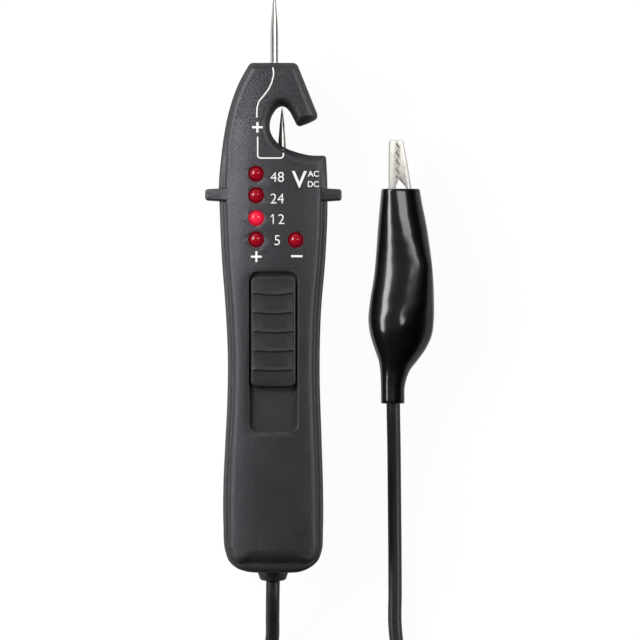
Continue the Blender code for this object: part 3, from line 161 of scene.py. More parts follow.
def lead_route(inner_radius):
    """Every point of the lead, from the grommet through the coil to the clip."""
    count = round(COIL_TURNS * COIL_STEPS)
    coil = [coil_point(COIL_TURNS * step / count, inner_radius) for step in range(count + 1)]
    first = smooth_line(FROM_TESTER + [coil[2]], 4)[:-4]
    joined = smooth_line([first[-1], coil[2]], 3)[1:-1]
    last = smooth_line([coil[-2]] + TO_CLIP, 4)[1:]
    return first + joined + coil[2:-1] + last


def line_length(points):
    """Length of a line through points."""
    return sum((after - before).length for before, after in zip(points, points[1:]))


low_radius, high_radius = 6.0, 16.0
for _ in range(40):
    middle_radius = (low_radius + high_radius) / 2
    if line_length(lead_route(middle_radius)) < LEAD_LENGTH:
        low_radius = middle_radius
    else:
        high_radius = middle_radius
route = lead_route(low_radius)
print("coil's inner radius:", round(low_radius, 2), "mm, points:", len(route),
      "length:", round(line_length(route), 1), "mm")

# %% [markdown]
# ## Finishes: the shared effects
#
# Plastic that comes out of a mould is never one flat colour. Its surface has a fine spark-eroded grain,
# and the shine differs a little from place to place. These effects could be copied into each material,
# but a node group is built once and takes its own values in each place. A group gives out only heights
# and tones, and the shader stays in the material.

# %% A group and its first nodes
FLOAT = "NodeSocketFloat"
NOISE_RANGE = (0.3, 0.7)
WHOLE_RANGE = (0.0, 1.0)


def new_group(name, inputs, outputs):
    """An empty node group with named inputs and outputs."""
    group = bpy.data.node_groups.new(name, "ShaderNodeTree")
    for label, value in inputs:
        group.interface.new_socket(label, in_out="INPUT", socket_type=FLOAT).default_value = value
    for label in outputs:
        group.interface.new_socket(label, in_out="OUTPUT", socket_type=FLOAT)
    return group, group.nodes.new("NodeGroupInput"), group.nodes.new("NodeGroupOutput")


def add(tree, kind, **values):
    """A node with its plain settings."""
    node = tree.nodes.new(kind)
    for key, value in values.items():
        setattr(node, key, value)
    return node


def noise(tree, coordinates, scale, detail=2.0, rough=0.5):
    """A noise texture, read at a scale in features per metre, either a number or a socket."""
    node = add(tree, "ShaderNodeTexNoise")
    node.inputs["Detail"].default_value = detail
    node.inputs["Roughness"].default_value = rough
    tree.links.new(coordinates, node.inputs["Vector"])
    if isinstance(scale, float):
        node.inputs["Scale"].default_value = scale
    else:
        tree.links.new(scale, node.inputs["Scale"])
    return node.outputs["Fac"]


def ranged(tree, source, source_range, result_range):
    """A value that runs over one range, made to run over another. Most of a noise is from 0.3 to 0.7."""
    node = add(tree, "ShaderNodeMapRange")
    node.inputs["From Min"].default_value, node.inputs["From Max"].default_value = source_range
    node.inputs["To Min"].default_value, node.inputs["To Max"].default_value = result_range
    tree.links.new(source, node.inputs["Value"])
    return node.outputs["Result"]


def mixed(tree, factor, first, second):
    """A colour between two others, each of them three plain numbers or a socket."""
    node = add(tree, "ShaderNodeMix", data_type="RGBA")
    for label, colour in (("A", first), ("B", second)):
        if isinstance(colour, tuple):
            node.inputs[label].default_value = (*colour, 1.0)
        else:
            tree.links.new(colour, node.inputs[label])
    tree.links.new(factor, node.inputs["Factor"])
    return node.outputs["Result"]


# %% Moulded grain, for the housing, slide, carrier and board parts
moulded_grain, grain_in, grain_out = new_group(
    "moulded_grain", [("Grains per metre", 3600.0), ("Patches per metre", 130.0)],
    ["Height", "Tone", "Shine"])
place = add(moulded_grain, "ShaderNodeTexCoord").outputs["Object"]
fine = noise(moulded_grain, place, grain_in.outputs["Grains per metre"], 3.0, 0.6)
patches = noise(moulded_grain, place, grain_in.outputs["Patches per metre"], 4.0, 0.6)
moulded_grain.links.new(fine, grain_out.inputs["Height"])
moulded_grain.links.new(ranged(moulded_grain, patches, NOISE_RANGE, WHOLE_RANGE), grain_out.inputs["Tone"])
moulded_grain.links.new(ranged(moulded_grain, fine, NOISE_RANGE, WHOLE_RANGE), grain_out.inputs["Shine"])

# %% Drawn metal, with faint lines along the tester
drawn_metal, metal_in, metal_out = new_group(
    "drawn_metal", [("Lines per metre", 5000.0), ("Stretch", 0.05)], ["Height", "Tone"])
place = add(drawn_metal, "ShaderNodeTexCoord").outputs["Object"]
squeeze = add(drawn_metal, "ShaderNodeCombineXYZ")
squeeze.inputs["X"].default_value = 1.0
squeeze.inputs["Z"].default_value = 1.0
drawn_metal.links.new(metal_in.outputs["Stretch"], squeeze.inputs["Y"])
along = add(drawn_metal, "ShaderNodeVectorMath", operation="MULTIPLY")
drawn_metal.links.new(place, along.inputs[0])
drawn_metal.links.new(squeeze.outputs["Vector"], along.inputs[1])
lines = noise(drawn_metal, along.outputs["Vector"], metal_in.outputs["Lines per metre"], 4.0, 0.7)
cloud = noise(drawn_metal, place, 300.0, 3.0, 0.6)
drawn_metal.links.new(lines, metal_out.inputs["Height"])
drawn_metal.links.new(ranged(drawn_metal, cloud, NOISE_RANGE, WHOLE_RANGE), metal_out.inputs["Tone"])

# %% Soft vinyl, with long soft waves and a few fine pits
soft_vinyl, vinyl_in, vinyl_out = new_group(
    "soft_vinyl", [("Waves per metre", 120.0), ("Pits per metre", 2500.0)], ["Height", "Tone"])
place = add(soft_vinyl, "ShaderNodeTexCoord").outputs["Object"]
waves = noise(soft_vinyl, place, vinyl_in.outputs["Waves per metre"], 2.0, 0.5)
pits = noise(soft_vinyl, place, vinyl_in.outputs["Pits per metre"], 2.0, 0.5)
both = add(soft_vinyl, "ShaderNodeMath", operation="MULTIPLY_ADD")
both.inputs[1].default_value = 0.06
soft_vinyl.links.new(pits, both.inputs[0])
soft_vinyl.links.new(waves, both.inputs[2])
soft_vinyl.links.new(both.outputs["Value"], vinyl_out.inputs["Height"])
soft_vinyl.links.new(ranged(soft_vinyl, waves, NOISE_RANGE, WHOLE_RANGE), vinyl_out.inputs["Tone"])

# %% [markdown]
# ## Finishes: the materials
#
# A material here is one Principled shader with a base colour between two near tones, a roughness that
# follows the surface and a bump from the shared groups. Numbers that don't change over the surface, such
# as the coat's roughness, are typed on the shader.


# %% One recipe for every opaque finish
def toned(name, group, settings, dark, light, height):
    """A Principled material whose bump follows a shared group. Its parts and its colour come back too."""
    made = bpy.data.materials.new(name)
    made.use_nodes = True
    tree = made.node_tree
    shader = tree.nodes["Principled BSDF"]
    effect = add(tree, "ShaderNodeGroup", node_tree=group)
    for label, value in settings.items():
        effect.inputs[label].default_value = value
    bump = add(tree, "ShaderNodeBump")
    bump.inputs["Strength"].default_value = 1.0
    bump.inputs["Distance"].default_value = height * MM
    tree.links.new(effect.outputs["Height"], bump.inputs["Height"])
    tree.links.new(bump.outputs["Normal"], shader.inputs["Normal"])
    return made, tree, shader, effect, mixed(tree, effect.outputs["Tone"], dark, light)


def finish(name, group, dark, light, rough, height, metal=0.0, plain=None, settings=None):
    """A Principled material whose colour, roughness and bump follow a shared group."""
    made, tree, shader, effect, colour = toned(name, group, settings or {}, dark, light, height)
    tree.links.new(colour, shader.inputs["Base Color"])
    tree.links.new(ranged(tree, effect.outputs["Tone"], WHOLE_RANGE, rough), shader.inputs["Roughness"])
    shader.inputs["Metallic"].default_value = metal
    for label, value in (plain or {}).items():
        shader.inputs[label].default_value = value
    return made


housing_plastic = finish("housing_plastic", moulded_grain, (0.0105, 0.01, 0.0118),
                         (0.0135, 0.013, 0.015), (0.39, 0.48), 0.1,
                         plain={"Specular Tint": (0.97, 0.94, 1.0, 1.0)})
slide_plastic = finish("slide_plastic", moulded_grain, (0.0095, 0.0092, 0.0105), (0.0125, 0.0121, 0.0135),
                       (0.45, 0.55), 0.05)
inner_plastic = finish("inner_plastic", moulded_grain, (0.02, 0.02, 0.02), (0.03, 0.03, 0.03),
                       (0.5, 0.6), 0.01)
board_mask = finish("board_mask", moulded_grain, (0.01, 0.11, 0.035), (0.015, 0.15, 0.05), (0.25, 0.35),
                    0.006, settings={"Grains per metre": 1500.0})
component_epoxy = finish("component_epoxy", moulded_grain, (0.016, 0.016, 0.017), (0.028, 0.028, 0.028),
                         (0.45, 0.6), 0.02, settings={"Grains per metre": 9000.0})
turned_nickel = finish("turned_nickel", drawn_metal, (0.72, 0.7, 0.66), (0.8, 0.79, 0.76), (0.14, 0.24),
                       0.003, 1.0)
pressed_nickel = finish("pressed_nickel", drawn_metal, (0.74, 0.71, 0.65), (0.86, 0.84, 0.79),
                        (0.3, 0.46), 0.016, 1.0, settings={"Stretch": 0.6, "Lines per metre": 2400.0})
spring_steel = finish("spring_steel", drawn_metal, (0.5, 0.5, 0.5), (0.62, 0.62, 0.62), (0.25, 0.35),
                      0.002, 1.0)
contact_brass = finish("contact_brass", drawn_metal, (0.7, 0.52, 0.22), (0.8, 0.62, 0.3), (0.25, 0.35),
                       0.003, 1.0)
lead_vinyl = finish("lead_vinyl", soft_vinyl, (0.018, 0.018, 0.02), (0.024, 0.024, 0.027), (0.36, 0.44),
                    0.03, settings={"Waves per metre": 300.0})
grommet_vinyl = finish("grommet_vinyl", soft_vinyl, (0.016, 0.016, 0.018), (0.02, 0.02, 0.022),
                       (0.45, 0.55), 0.02, settings={"Waves per metre": 500.0})
boot_vinyl = finish("boot_vinyl", soft_vinyl, (0.003, 0.003, 0.0035), (0.005, 0.005, 0.006), (0.2, 0.28),
                    0.12, plain={"Coat Weight": 1.0, "Coat Roughness": 0.12, "Coat IOR": 1.5},
                    settings={"Waves per metre": 110.0, "Pits per metre": 900.0})
print_white = finish("print_white", moulded_grain, (0.7, 0.7, 0.7), (0.76, 0.76, 0.76), (0.5, 0.6), 0.004)


# %% [markdown]
# A lamp's lens is painted darker towards its rim. This painted shade stands in for the deeper colour where
# the light crosses more of the epoxy. The lens also glows most on top, and on the unlit lenses that glow is
# painted light as well. Layer Weight could draw that, but it
# follows the camera: the rim would slide over the dome in other views. The surface's own upright direction
# stays where it is, so the two tones follow that.

# %% Lamp lenses: clear tinted epoxy, one of them lit
LENS_WAVES = 700.0
LENS_BUMP = 0.006
LENS_SHADE = 0.85
LENS_PAINTED_RIM_SHADE = 0.12
BLACK = (0.0, 0.0, 0.0)


def lens_finish(name, tint, glow, strength):
    """Clear epoxy with a tint, a painted shade at its rim and a glow, which is painted light on an unlit
    lens.
    """
    made, tree, shader, _, colour = toned(name, soft_vinyl, {"Waves per metre": LENS_WAVES}, tint,
                                          tuple(value * LENS_SHADE for value in tint), LENS_BUMP)
    upright = add(tree, "ShaderNodeSeparateXYZ")
    tree.links.new(add(tree, "ShaderNodeTexCoord").outputs["Normal"], upright.inputs["Vector"])
    rim = add(tree, "ShaderNodeMath", operation="SUBTRACT", use_clamp=True)
    rim.inputs[0].default_value = 1.0
    tree.links.new(upright.outputs["Z"], rim.inputs[1])
    # Painted shade: the rim's colour is darkened, standing in for light that crosses more epoxy.
    painted_rim_shade = tuple(value * LENS_PAINTED_RIM_SHADE for value in tint)
    tree.links.new(mixed(tree, rim.outputs["Value"], colour, painted_rim_shade), shader.inputs["Base Color"])
    # The glow fades towards the rim. On the unlit lenses it is a painted glow.
    tree.links.new(mixed(tree, rim.outputs["Value"], glow, BLACK), shader.inputs["Emission Color"])
    shader.inputs["Emission Strength"].default_value = strength
    shader.inputs["Roughness"].default_value = 0.12
    shader.inputs["IOR"].default_value = 1.5
    shader.inputs["Transmission Weight"].default_value = 0.55
    return made


# The unlit lenses glow a little too, which is a painted glow. Only the 12 V lamp is lit.
red_lens = lens_finish("red_lens", (0.5, 0.003, 0.01), (0.5, 0.006, 0.03), 0.32)
lit_lens = lens_finish("lit_lens", (0.9, 0.02, 0.06), (0.9, 0.02, 0.07), 0.7)
print("materials:", len(bpy.data.materials), "shared effects:", len(bpy.data.node_groups))

# %% [markdown]
# ## A piece of its own
#
# Each new piece is a bmesh in millimetres. One helper moves it into the frame, points its faces outwards,
# turns it into an object at the origin and ties it to the body that carries it. Rings of points are the
# most used shape here, so another helper grows a ring: it extrudes the ring's edges, then moves every new
# vertex to its place on the next ring.


# %% Helpers for finished pieces and rings
def outwards(bm):
    """Point every face out, after doubles are merged."""
    bmesh.ops.remove_doubles(bm, verts=bm.verts, dist=1e-5)
    bmesh.ops.recalc_face_normals(bm, faces=bm.faces)


def as_object(name, bm, material=None):
    """A bmesh in the tester's millimetres becomes an object at the origin, in the frame's metres."""
    outwards(bm)
    bmesh.ops.translate(bm, verts=bm.verts, vec=ROW_SHIFT)
    bmesh.ops.scale(bm, verts=bm.verts, vec=(MM, MM, MM))
    mesh = bpy.data.meshes.new(name)
    bm.to_mesh(mesh)
    bm.free()
    if material is not None:
        mesh.materials.append(material)
    made = bpy.data.objects.new(name, mesh)
    bpy.context.scene.collection.objects.link(made)
    return made


def smooth(piece, sharp_deg=32.0):
    """Smooth shading that keeps real edges sharp."""
    piece.data.shade_smooth()
    piece.data.set_sharp_from_angle(angle=math.radians(sharp_deg))
    return piece


def carried(piece, body, slot, *stands_for):
    """Tie a piece to its body and hide the nodes that it stands for. The slot is not used."""
    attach(piece, body)
    if stands_for:
        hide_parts(*stands_for)
    print(piece.name, len(piece.data.polygons), "faces")
    return piece


def first_ring(bm, places):
    """A closed ring of vertices and edges."""
    ring = [bm.verts.new(place) for place in places]
    for here, following in zip(ring, ring[1:] + ring[:1]):
        bm.edges.new((here, following))
    return ring


def next_ring(bm, ring, places):
    """Extrude a ring and move each new vertex to its place. The new ring comes back."""
    edges = [bm.edges.get((here, following)) for here, following in zip(ring, ring[1:] + ring[:1])]
    made = bmesh.ops.extrude_edge_only(bm, edges=edges)
    fresh = {item for item in made["geom"] if isinstance(item, bmesh.types.BMVert)}
    grown = []
    for vert, place in zip(ring, places):
        new = next(edge.other_vert(vert) for edge in vert.link_edges if edge.other_vert(vert) in fresh)
        new.co = place
        grown.append(new)
    return grown


def rings_mesh(rings, capped=True):
    """A skin through rings of equal counts, closed by a face at both ends."""
    bm = bmesh.new()
    ring = first_ring(bm, rings[0])
    start = ring
    for places in rings[1:]:
        ring = next_ring(bm, ring, places)
    if capped:
        bm.faces.new(start[::-1])
        bm.faces.new(ring)
    return bm


def turned(profile, centre, axis, sides=48):
    """A turned shape: (radius, distance along) pairs spun about a line through a centre."""
    bm = bmesh.new()
    centre = Vector(centre)
    up = Vector(axis)
    side = Vector((1.0, 0.0, 0.0))
    verts = [bm.verts.new(centre + side * radius + up * along) for radius, along in profile]
    edges = [bm.edges.new(pair) for pair in zip(verts, verts[1:])]
    if profile[0][0] > 0.0 and profile[-1][0] > 0.0:
        edges.append(bm.edges.new((verts[-1], verts[0])))
    bmesh.ops.spin(bm, geom=verts + edges, cent=centre, axis=up, angle=math.tau, steps=sides, use_merge=True)
    return bm


def plate(points, low_z, high_z):
    """A flat outline raised between two heights."""
    bm = bmesh.new()
    face = bm.faces.new([bm.verts.new((x, y, low_z)) for x, y in points])
    made = bmesh.ops.extrude_face_region(bm, geom=[face])
    moved = [item for item in made["geom"] if isinstance(item, bmesh.types.BMVert)]
    bmesh.ops.translate(bm, verts=moved, vec=(0.0, 0.0, high_z - low_z))
    return bm


def soften(bm, edges, width, segments):
    """Round some edges with a bevel."""
    bmesh.ops.bevel(bm, geom=edges, offset=width, segments=segments, profile=0.5, affect="EDGES",
                    offset_type="OFFSET", material=-1)


def block(low, high):
    """A block between two corners, used to join or cut."""
    low, high = Vector(low), Vector(high)
    bm = bmesh.new()
    place = Matrix.Translation((low + high) / 2) @ Matrix.Diagonal((*(high - low), 1.0))
    bmesh.ops.create_cube(bm, size=1.0, matrix=place)
    return bm


def carve(piece, steps):
    """Join or cut with a list of (operation, bmesh), apply it all, and throw the tools away."""
    tools = []
    for operation, bm in steps:
        tool = as_object("tool", bm)
        tools.append(tool)
        change = piece.modifiers.new("carve", "BOOLEAN")
        change.operation = operation
        change.solver = "EXACT"
        change.object = tool
    depsgraph = bpy.context.evaluated_depsgraph_get()
    result = bpy.data.meshes.new_from_object(piece.evaluated_get(depsgraph))
    piece.modifiers.clear()
    old = piece.data
    piece.data = result
    result.name = piece.name
    bpy.data.meshes.remove(old)
    for tool in tools:
        mesh = tool.data
        bpy.data.objects.remove(tool)
        bpy.data.meshes.remove(mesh)
    return piece


# %% [markdown]
# ## The lead
#
# A round cable is a curve with a round bevel: Blender sweeps the circle along the route, and the route can
# still be changed. Its one spline runs from the grommet to the crimp inside the clip.

# %% Lead
lead_curve = bpy.data.curves.new("test_lead", "CURVE")
lead_curve.dimensions = "3D"
lead_curve.bevel_depth = 1.01 * LEAD_RADIUS * MM
lead_curve.bevel_resolution = 6
lead_curve.use_fill_caps = True
line = lead_curve.splines.new("POLY")
line.points.add(len(route) - 1)
for spot, place in zip(line.points, route):
    spot.co = (*in_frame(*place), 1.0)
line.use_smooth = True
lead_curve.materials.append(lead_vinyl)
test_lead = bpy.data.objects.new("test_lead", lead_curve)
bpy.context.scene.collection.objects.link(test_lead)
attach(test_lead, "tester")
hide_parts("cord_tester_run", "cord_coil", "cord_clip_run")

# %% [markdown]
# ## The housing's outline
#
# Seen from the front, the housing is one walked line: up the left side, round the bottom end, up the
# right side, round the hook and its nose, and along the top. It could be a Bezier curve, but the rounded
# rim needs the same outline again and again, each a little further in, with the same count of points.
# So the line is kept as five smooth runs, each is moved along its own normals, and the corners between
# them are rounded anew each time.

# %% Outline values, the same as the solid's
HOUSING_TOP = 104.1
SIDE_AND_END = [
    (-4.75, HOUSING_TOP), (-6.0, 102.0), (-6.95, 100.2), (-8.1, 97.4), (-9.2, 93.8), (-10.05, 89.5),
    (-10.75, 84.1), (-11.13, 79.5), (-11.0, 75.1), (-10.5, 63.9), (-9.71, 53.3), (-9.3, 44.0),
    (-9.4, 35.3), (-9.85, 25.9), (-10.2, 18.2), (-10.2, 9.5), (-9.9, 4.8), (-9.07, 2.45),
    (-7.43, 0.95), (-5.5, 0.28), (-3.0, 0.03), (0.0, 0.0), (3.0, 0.03), (5.3, 0.2), (7.6, 1.15),
    (9.05, 2.45), (9.85, 4.4), (10.12, 8.5), (10.15, 17.0), (9.85, 27.0), (9.45, 42.0), (9.73, 53.3),
    (10.6, 63.9), (11.06, 75.1), (11.0, 80.2), (10.75, 85.15)]
HOOK = [
    (10.75, 85.15), (7.57, 85.2), (5.2, 85.7), (2.9, 86.5), (1.2, 87.45), (0.0, 88.75), (-0.7, 90.4),
    (-0.72, 92.2), (0.0, 94.0), (0.85, 95.0), (1.7, 95.35), (2.5, 95.1), (3.2, 94.4), (4.2, 92.6),
    (4.95, 91.1)]
NOSE = [(4.95, 91.1), (7.1, 91.85), (9.25, 92.95)]
NOSE_SIDE = [(9.25, 92.95), (4.75, HOUSING_TOP)]
TOP_EDGE = [(4.75, HOUSING_TOP), (-4.75, HOUSING_TOP)]
RUNS = [SIDE_AND_END, HOOK, NOSE, NOSE_SIDE, TOP_EDGE]
CORNER_RADII = [0.75, 0.9, 1.1, 1.4, 1.2]
CORNER_POINTS = 8
LEAST_RADIUS = 0.7
OUTLINE_STEP = 2.4
OUTLINE_TURN = math.radians(5.0)
SAMPLES = 14
SEAM_Z = 7.65
GAP = 0.3
CROWN_Z = 16.5
SIDE_DROP = 1.5
SIDE_POWER = 3.0
HEAD_LEAN = 0.5
HEAD_DROP = 2.9
TAIL_DROP = 1.3
CROWN_PEAK_Y = 52.0
CAVITY_TOP = 83.8
CORNER_TIGHTEN = 0.2
END_SHELF = 1.1
HEAD_TIGHTEN = 0.25


def crown(x, y):
    """Height of the housing's crowned face."""
    side = SIDE_DROP * (abs(x) / 10.0) ** SIDE_POWER
    if x < 0.0:
        side *= 1.0 + HEAD_LEAN * smoothstep(CROWN_PEAK_Y, CAVITY_TOP, y)
    if y > CROWN_PEAK_Y:
        end = HEAD_DROP * ((y - CROWN_PEAK_Y) / (HOUSING_TOP - CROWN_PEAK_Y)) ** 2
    else:
        end = TAIL_DROP * ((CROWN_PEAK_Y - y) / CROWN_PEAK_Y) ** 2
    return CROWN_Z - side - end


# %% Moving along a run and finding where two runs meet
def left_normals(points):
    """Unit normals on the left hand of a walked line."""
    normals = []
    for index in range(len(points)):
        ahead = points[min(index + 1, len(points) - 1)] - points[max(index - 1, 0)]
        normals.append(Vector((-ahead.y, ahead.x)).normalized())
    return normals


dense_runs = [smooth_line(run, SAMPLES) for run in RUNS]
dense_normals = [left_normals(run) for run in dense_runs]


def at_index(points, index):
    """A point on a line at a fractional index."""
    low = min(int(index), len(points) - 2)
    return points[low].lerp(points[low + 1], index - low)


def walked(points, index, distance):
    """The fractional index that lies a distance further along a line, backwards if it is negative."""
    step = 1 if distance > 0 else -1
    left = abs(distance)
    here = at_index(points, index)
    while left > 0:
        goal = math.floor(index + 1e-9) + 1 if step > 0 else math.ceil(index - 1e-9) - 1
        goal = min(max(goal, 0), len(points) - 1)
        if goal == index:
            return index
        length = (points[goal] - here).length
        if length >= left:
            return index + (goal - index) * left / length
        left -= length
        index, here = float(goal), points[goal]
    return index


def crossing(first, second):
    """Where the end of one line meets the start of the next, as fractional indices."""
    reach_first = max(0, len(first) - 2 - 3 * SAMPLES)
    for back in range(len(first) - 2, reach_first - 1, -1):
        a, b = first[back], first[back + 1]
        for ahead in range(min(3 * SAMPLES, len(second) - 1)):
            c, d = second[ahead], second[ahead + 1]
            across = (b - a).cross(d - c)
            if abs(across) < 1e-12:
                continue
            t = (c - a).cross(d - c) / across
            u = (c - a).cross(b - a) / across
            if -1e-6 <= t <= 1.000001 and -1e-6 <= u <= 1.000001:
                return back + t, ahead + u
    return float(len(first) - 1), 0.0


# %% The outline, moved inwards
def rim_width(x, y):
    """How wide the edge is at a place: wide across the end, tight in its two corners and in the head."""
    corner = CORNER_TIGHTEN * smoothstep(10.0, 4.0, y)
    shelf = END_SHELF * smoothstep(8.6, 4.6, abs(x)) * smoothstep(5.0, 2.6, y)
    head = HEAD_TIGHTEN * smoothstep(CAVITY_TOP, CAVITY_TOP + 4.0, y)
    return 1.0 - corner - head + shelf


def outline_parts(inset, widen):
    """The runs of the outline moved inwards, with the indices where their rounded corners start."""
    lines = []
    for points, normals in zip(dense_runs, dense_normals):
        lines.append([point + normal * inset * (rim_width(point.x, point.y) if widen else 1.0)
                      for point, normal in zip(points, normals)])
    starts = [0.0] * len(lines)
    ends = [0.0] * len(lines)
    corners = []
    for index, line in enumerate(lines):
        following = (index + 1) % len(lines)
        leave, enter = crossing(line, lines[following])
        corner = at_index(line, leave)
        radius = max(CORNER_RADII[index] - inset, LEAST_RADIUS)
        before = corner - at_index(line, max(leave - 2.0, 0.0))
        after = at_index(lines[following], enter + 2.0) - corner
        trim = radius * math.tan(before.angle(after) / 2)
        ends[index] = walked(line, leave, -trim)
        starts[following] = walked(lines[following], enter, trim)
        corners.append(corner)
    return lines, starts, ends, corners


def point_fractions():
    """How far along each run its points go: closer together where the outline turns."""
    lines, starts, ends, _ = outline_parts(0.0, False)
    fractions = []
    for line, start, end in zip(lines, starts, ends):
        inner = [start] + [float(index) for index in range(int(start) + 1, math.ceil(end))] + [end]
        spots = [at_index(line, index) for index in inner]
        weights = [0.0]
        for index in range(1, len(spots)):
            ahead = spots[index] - spots[index - 1]
            turn = 0.0
            if index > 1:
                turn = abs((spots[index - 1] - spots[index - 2]).angle(ahead, 0.0))
            weights.append(weights[-1] + ahead.length / OUTLINE_STEP + turn / OUTLINE_TURN)
        count = max(2, round(weights[-1]))
        run = []
        for step in range(count + 1):
            goal = weights[-1] * step / count
            place = next(index for index in range(1, len(weights)) if weights[index] >= goal - 1e-9)
            part = (goal - weights[place - 1]) / max(weights[place] - weights[place - 1], 1e-9)
            index = inner[place - 1] + (inner[place] - inner[place - 1]) * part
            run.append((index - start) / (end - start))
        fractions.append(run)
    return fractions


fractions = point_fractions()


def outline(inset, widen=False):
    """The closed outline of the housing, moved inwards, always with the same count of points."""
    lines, starts, ends, corners = outline_parts(inset, widen)
    loop = []
    for index, line in enumerate(lines):
        for fraction in fractions[index]:
            loop.append(at_index(line, starts[index] + (ends[index] - starts[index]) * fraction))
        following = (index + 1) % len(lines)
        leave = loop[-1]
        enter = at_index(lines[following], starts[following])
        for step in range(1, CORNER_POINTS):
            t = step / CORNER_POINTS
            loop.append((1 - t) ** 2 * leave + 2 * t * (1 - t) * corners[index] + t ** 2 * enter)
    return loop


print("points in the outline:", len(outline(0.0)))

# %% [markdown]
# ## The front shell
#
# The front shell carries the look of the whole tester. From the outside in, its face has a rounded edge,
# a narrow flat ledge and then the soft shoulder of a raised panel, which is flat in the middle and falls
# away towards its sides. Subdividing a block would blur these lines, so the skin grows ring by ring on
# the outline, and each ring's height is measured from the panel's edge beside it. The panel is one face
# at first. Planes bisect it into a grid, and its vertices drop onto the crown.

# %% Skin of the front shell
EDGE_RELIEF = [(0.0, -2.3), (0.03, -2.04), (0.1, -1.8), (0.2, -1.58), (0.3, -1.46), (0.42, -1.37),
               (0.6, -1.31), (0.8, -1.28), (1.0, -1.26), (1.1, -1.22), (1.2, -1.12), (1.32, -0.92),
               (1.46, -0.64), (1.65, -0.38), (1.9, -0.19), (2.15, -0.08), (2.4, 0.0)]
ROLL_DEPTH = 2.3
ROLL_POWER = 2.2
FADE_LEFT = (78.0, 95.0)
FADE_RIGHT = (78.0, 84.5)
PANEL_GRID = 2.5
SEAM_STEP = 0.12
front_low = SEAM_Z + GAP / 2


def ledge(x, y):
    """How much of the ledge the edge has at a place: all of it low down, none round the hook."""
    low, high = FADE_LEFT if x < -3.0 else FADE_RIGHT
    return 1.0 - smoothstep(low, high, y)


def edge_ring(inset, rise):
    """One ring of the face's edge, between the edge with a ledge and the plain rolled one."""
    rolled = -ROLL_DEPTH * (1.0 - inset / EDGE_RELIEF[-1][0]) ** ROLL_POWER
    ring = []
    for base, p, panel in zip(outline(0.0), outline(inset, True), outline(EDGE_RELIEF[-1][0], True)):
        share = ledge(base.x, base.y)
        ring.append((p.x, p.y, crown(panel.x, panel.y) + share * rise + (1.0 - share) * rolled))
    return ring


rings = [[(p.x, p.y, front_low) for p in outline(SEAM_STEP)],
         [(p.x, p.y, front_low + SEAM_STEP) for p in outline(0.0)]]
rings += [edge_ring(inset, rise) for inset, rise in EDGE_RELIEF]
bm = rings_mesh(rings)
bm.faces.ensure_lookup_table()
panel = [bm.faces[-1]]
cuts = [((x * PANEL_GRID, 0.0, 0.0), (1.0, 0.0, 0.0)) for x in range(-4, 5)]
cuts += [((0.0, y * PANEL_GRID, 0.0), (0.0, 1.0, 0.0)) for y in range(1, 42)]
for point, normal in cuts:
    shape = panel + [e for f in panel for e in f.edges] + [v for f in panel for v in f.verts]
    made = bmesh.ops.bisect_plane(bm, geom=list(set(shape)), plane_co=point, plane_no=normal)
    panel = [item for item in made["geom"] if isinstance(item, bmesh.types.BMFace)]
for vert in {v for f in panel for v in f.verts}:
    vert.co.z = crown(vert.co.x, vert.co.y)
front_shell = as_object("housing_front", bm, housing_plastic)
print("front skin:", len(front_shell.data.polygons), "faces")

# %% [markdown]
# The finger guard's wings, the inside of the shell, the track and the lamp holes are joined to the skin or
# cut out of it. Where a hole meets the crowned face, a real moulding has a small rounded lip, which
# catches the light. A straight cutter leaves a knife edge, so these cutters flare out just below the
# face, and each of their vertices follows the crown.

# %% Values of the wings, the track and the holes
WALL = 2.0
BACK_WALL = 1.8
ROOF_Z = 13.0
WING_TIP_X = 13.93
WING_ROOT_X = 8.2
WING_LOW_Y = 75.7
WING_HIGH_Y = 78.6
WING_TAPER = 0.3
WING_TOP_Z = 14.3
WING_FALL = 0.7
WING_CORNER = 0.6
WING_SOFTENING = 0.45
WING_BACK_Z = 2.2
TRACK_X = 4.92
TRACK_LOW_Y = 28.8
TRACK_HIGH_Y = 61.4
TRACK_RADIUS = 1.6
TRACK_FLOOR_Z = 15.2
LAMPS = {"led_48": (-3.5, 81.4), "led_24": (-3.5, 77.0), "led_12": (-3.5, 72.4), "led_5": (-3.5, 68.0),
         "led_minus": (4.53, 67.9)}
LENS_RADIUS = 1.5
HOLE_CLEAR = 0.12


# %% Wings, hollows and holes
def wing(side, low_z, high_z, rounded_z):
    """One wing of one shell: a stub with a blunt end and softened edges, its face falling outwards."""
    middle = (WING_LOW_Y + WING_HIGH_Y) / 2
    half_root = (WING_HIGH_Y - WING_LOW_Y) / 2
    half_tip = half_root - WING_TAPER
    round_x, round_y = WING_TIP_X - WING_CORNER, half_tip - WING_CORNER
    upper = [(round_x + WING_CORNER * math.sin(a), middle + round_y + WING_CORNER * math.cos(a))
             for a in [math.radians(15 * step) for step in range(7)]]
    lower = [(x, 2 * middle - y) for x, y in upper[::-1]]
    points = [(WING_ROOT_X, middle + half_root)] + upper + lower + [(WING_ROOT_X, middle - half_root)]
    bm = plate([(side * x, y) for x, y in points], low_z, high_z)
    edge = [e for e in bm.edges if all(abs(v.co.z - rounded_z) < 1e-6 for v in e.verts)
            and any(abs(v.co.x) > WING_ROOT_X + 0.1 for v in e.verts)]
    soften(bm, edge, WING_SOFTENING, 5)
    if rounded_z > SEAM_Z:
        for vert in bm.verts:
            if vert.co.z > SEAM_Z + 3.0:
                vert.co.z -= WING_FALL * (abs(vert.co.x) - WING_ROOT_X) / (WING_TIP_X - WING_ROOT_X)
    return bm


def hollow():
    """The inside of both shells, cut off below the hook."""
    bm = plate([(p.x, p.y) for p in outline(WALL)], BACK_WALL, ROOF_Z)
    everything = list(bm.verts) + list(bm.edges) + list(bm.faces)
    bmesh.ops.bisect_plane(bm, geom=everything, plane_co=(0.0, CAVITY_TOP, 0.0), plane_no=(0.0, 1.0, 0.0),
                           clear_outer=True)
    bmesh.ops.holes_fill(bm, edges=[e for e in bm.edges if e.is_boundary], sides=0)
    return bm


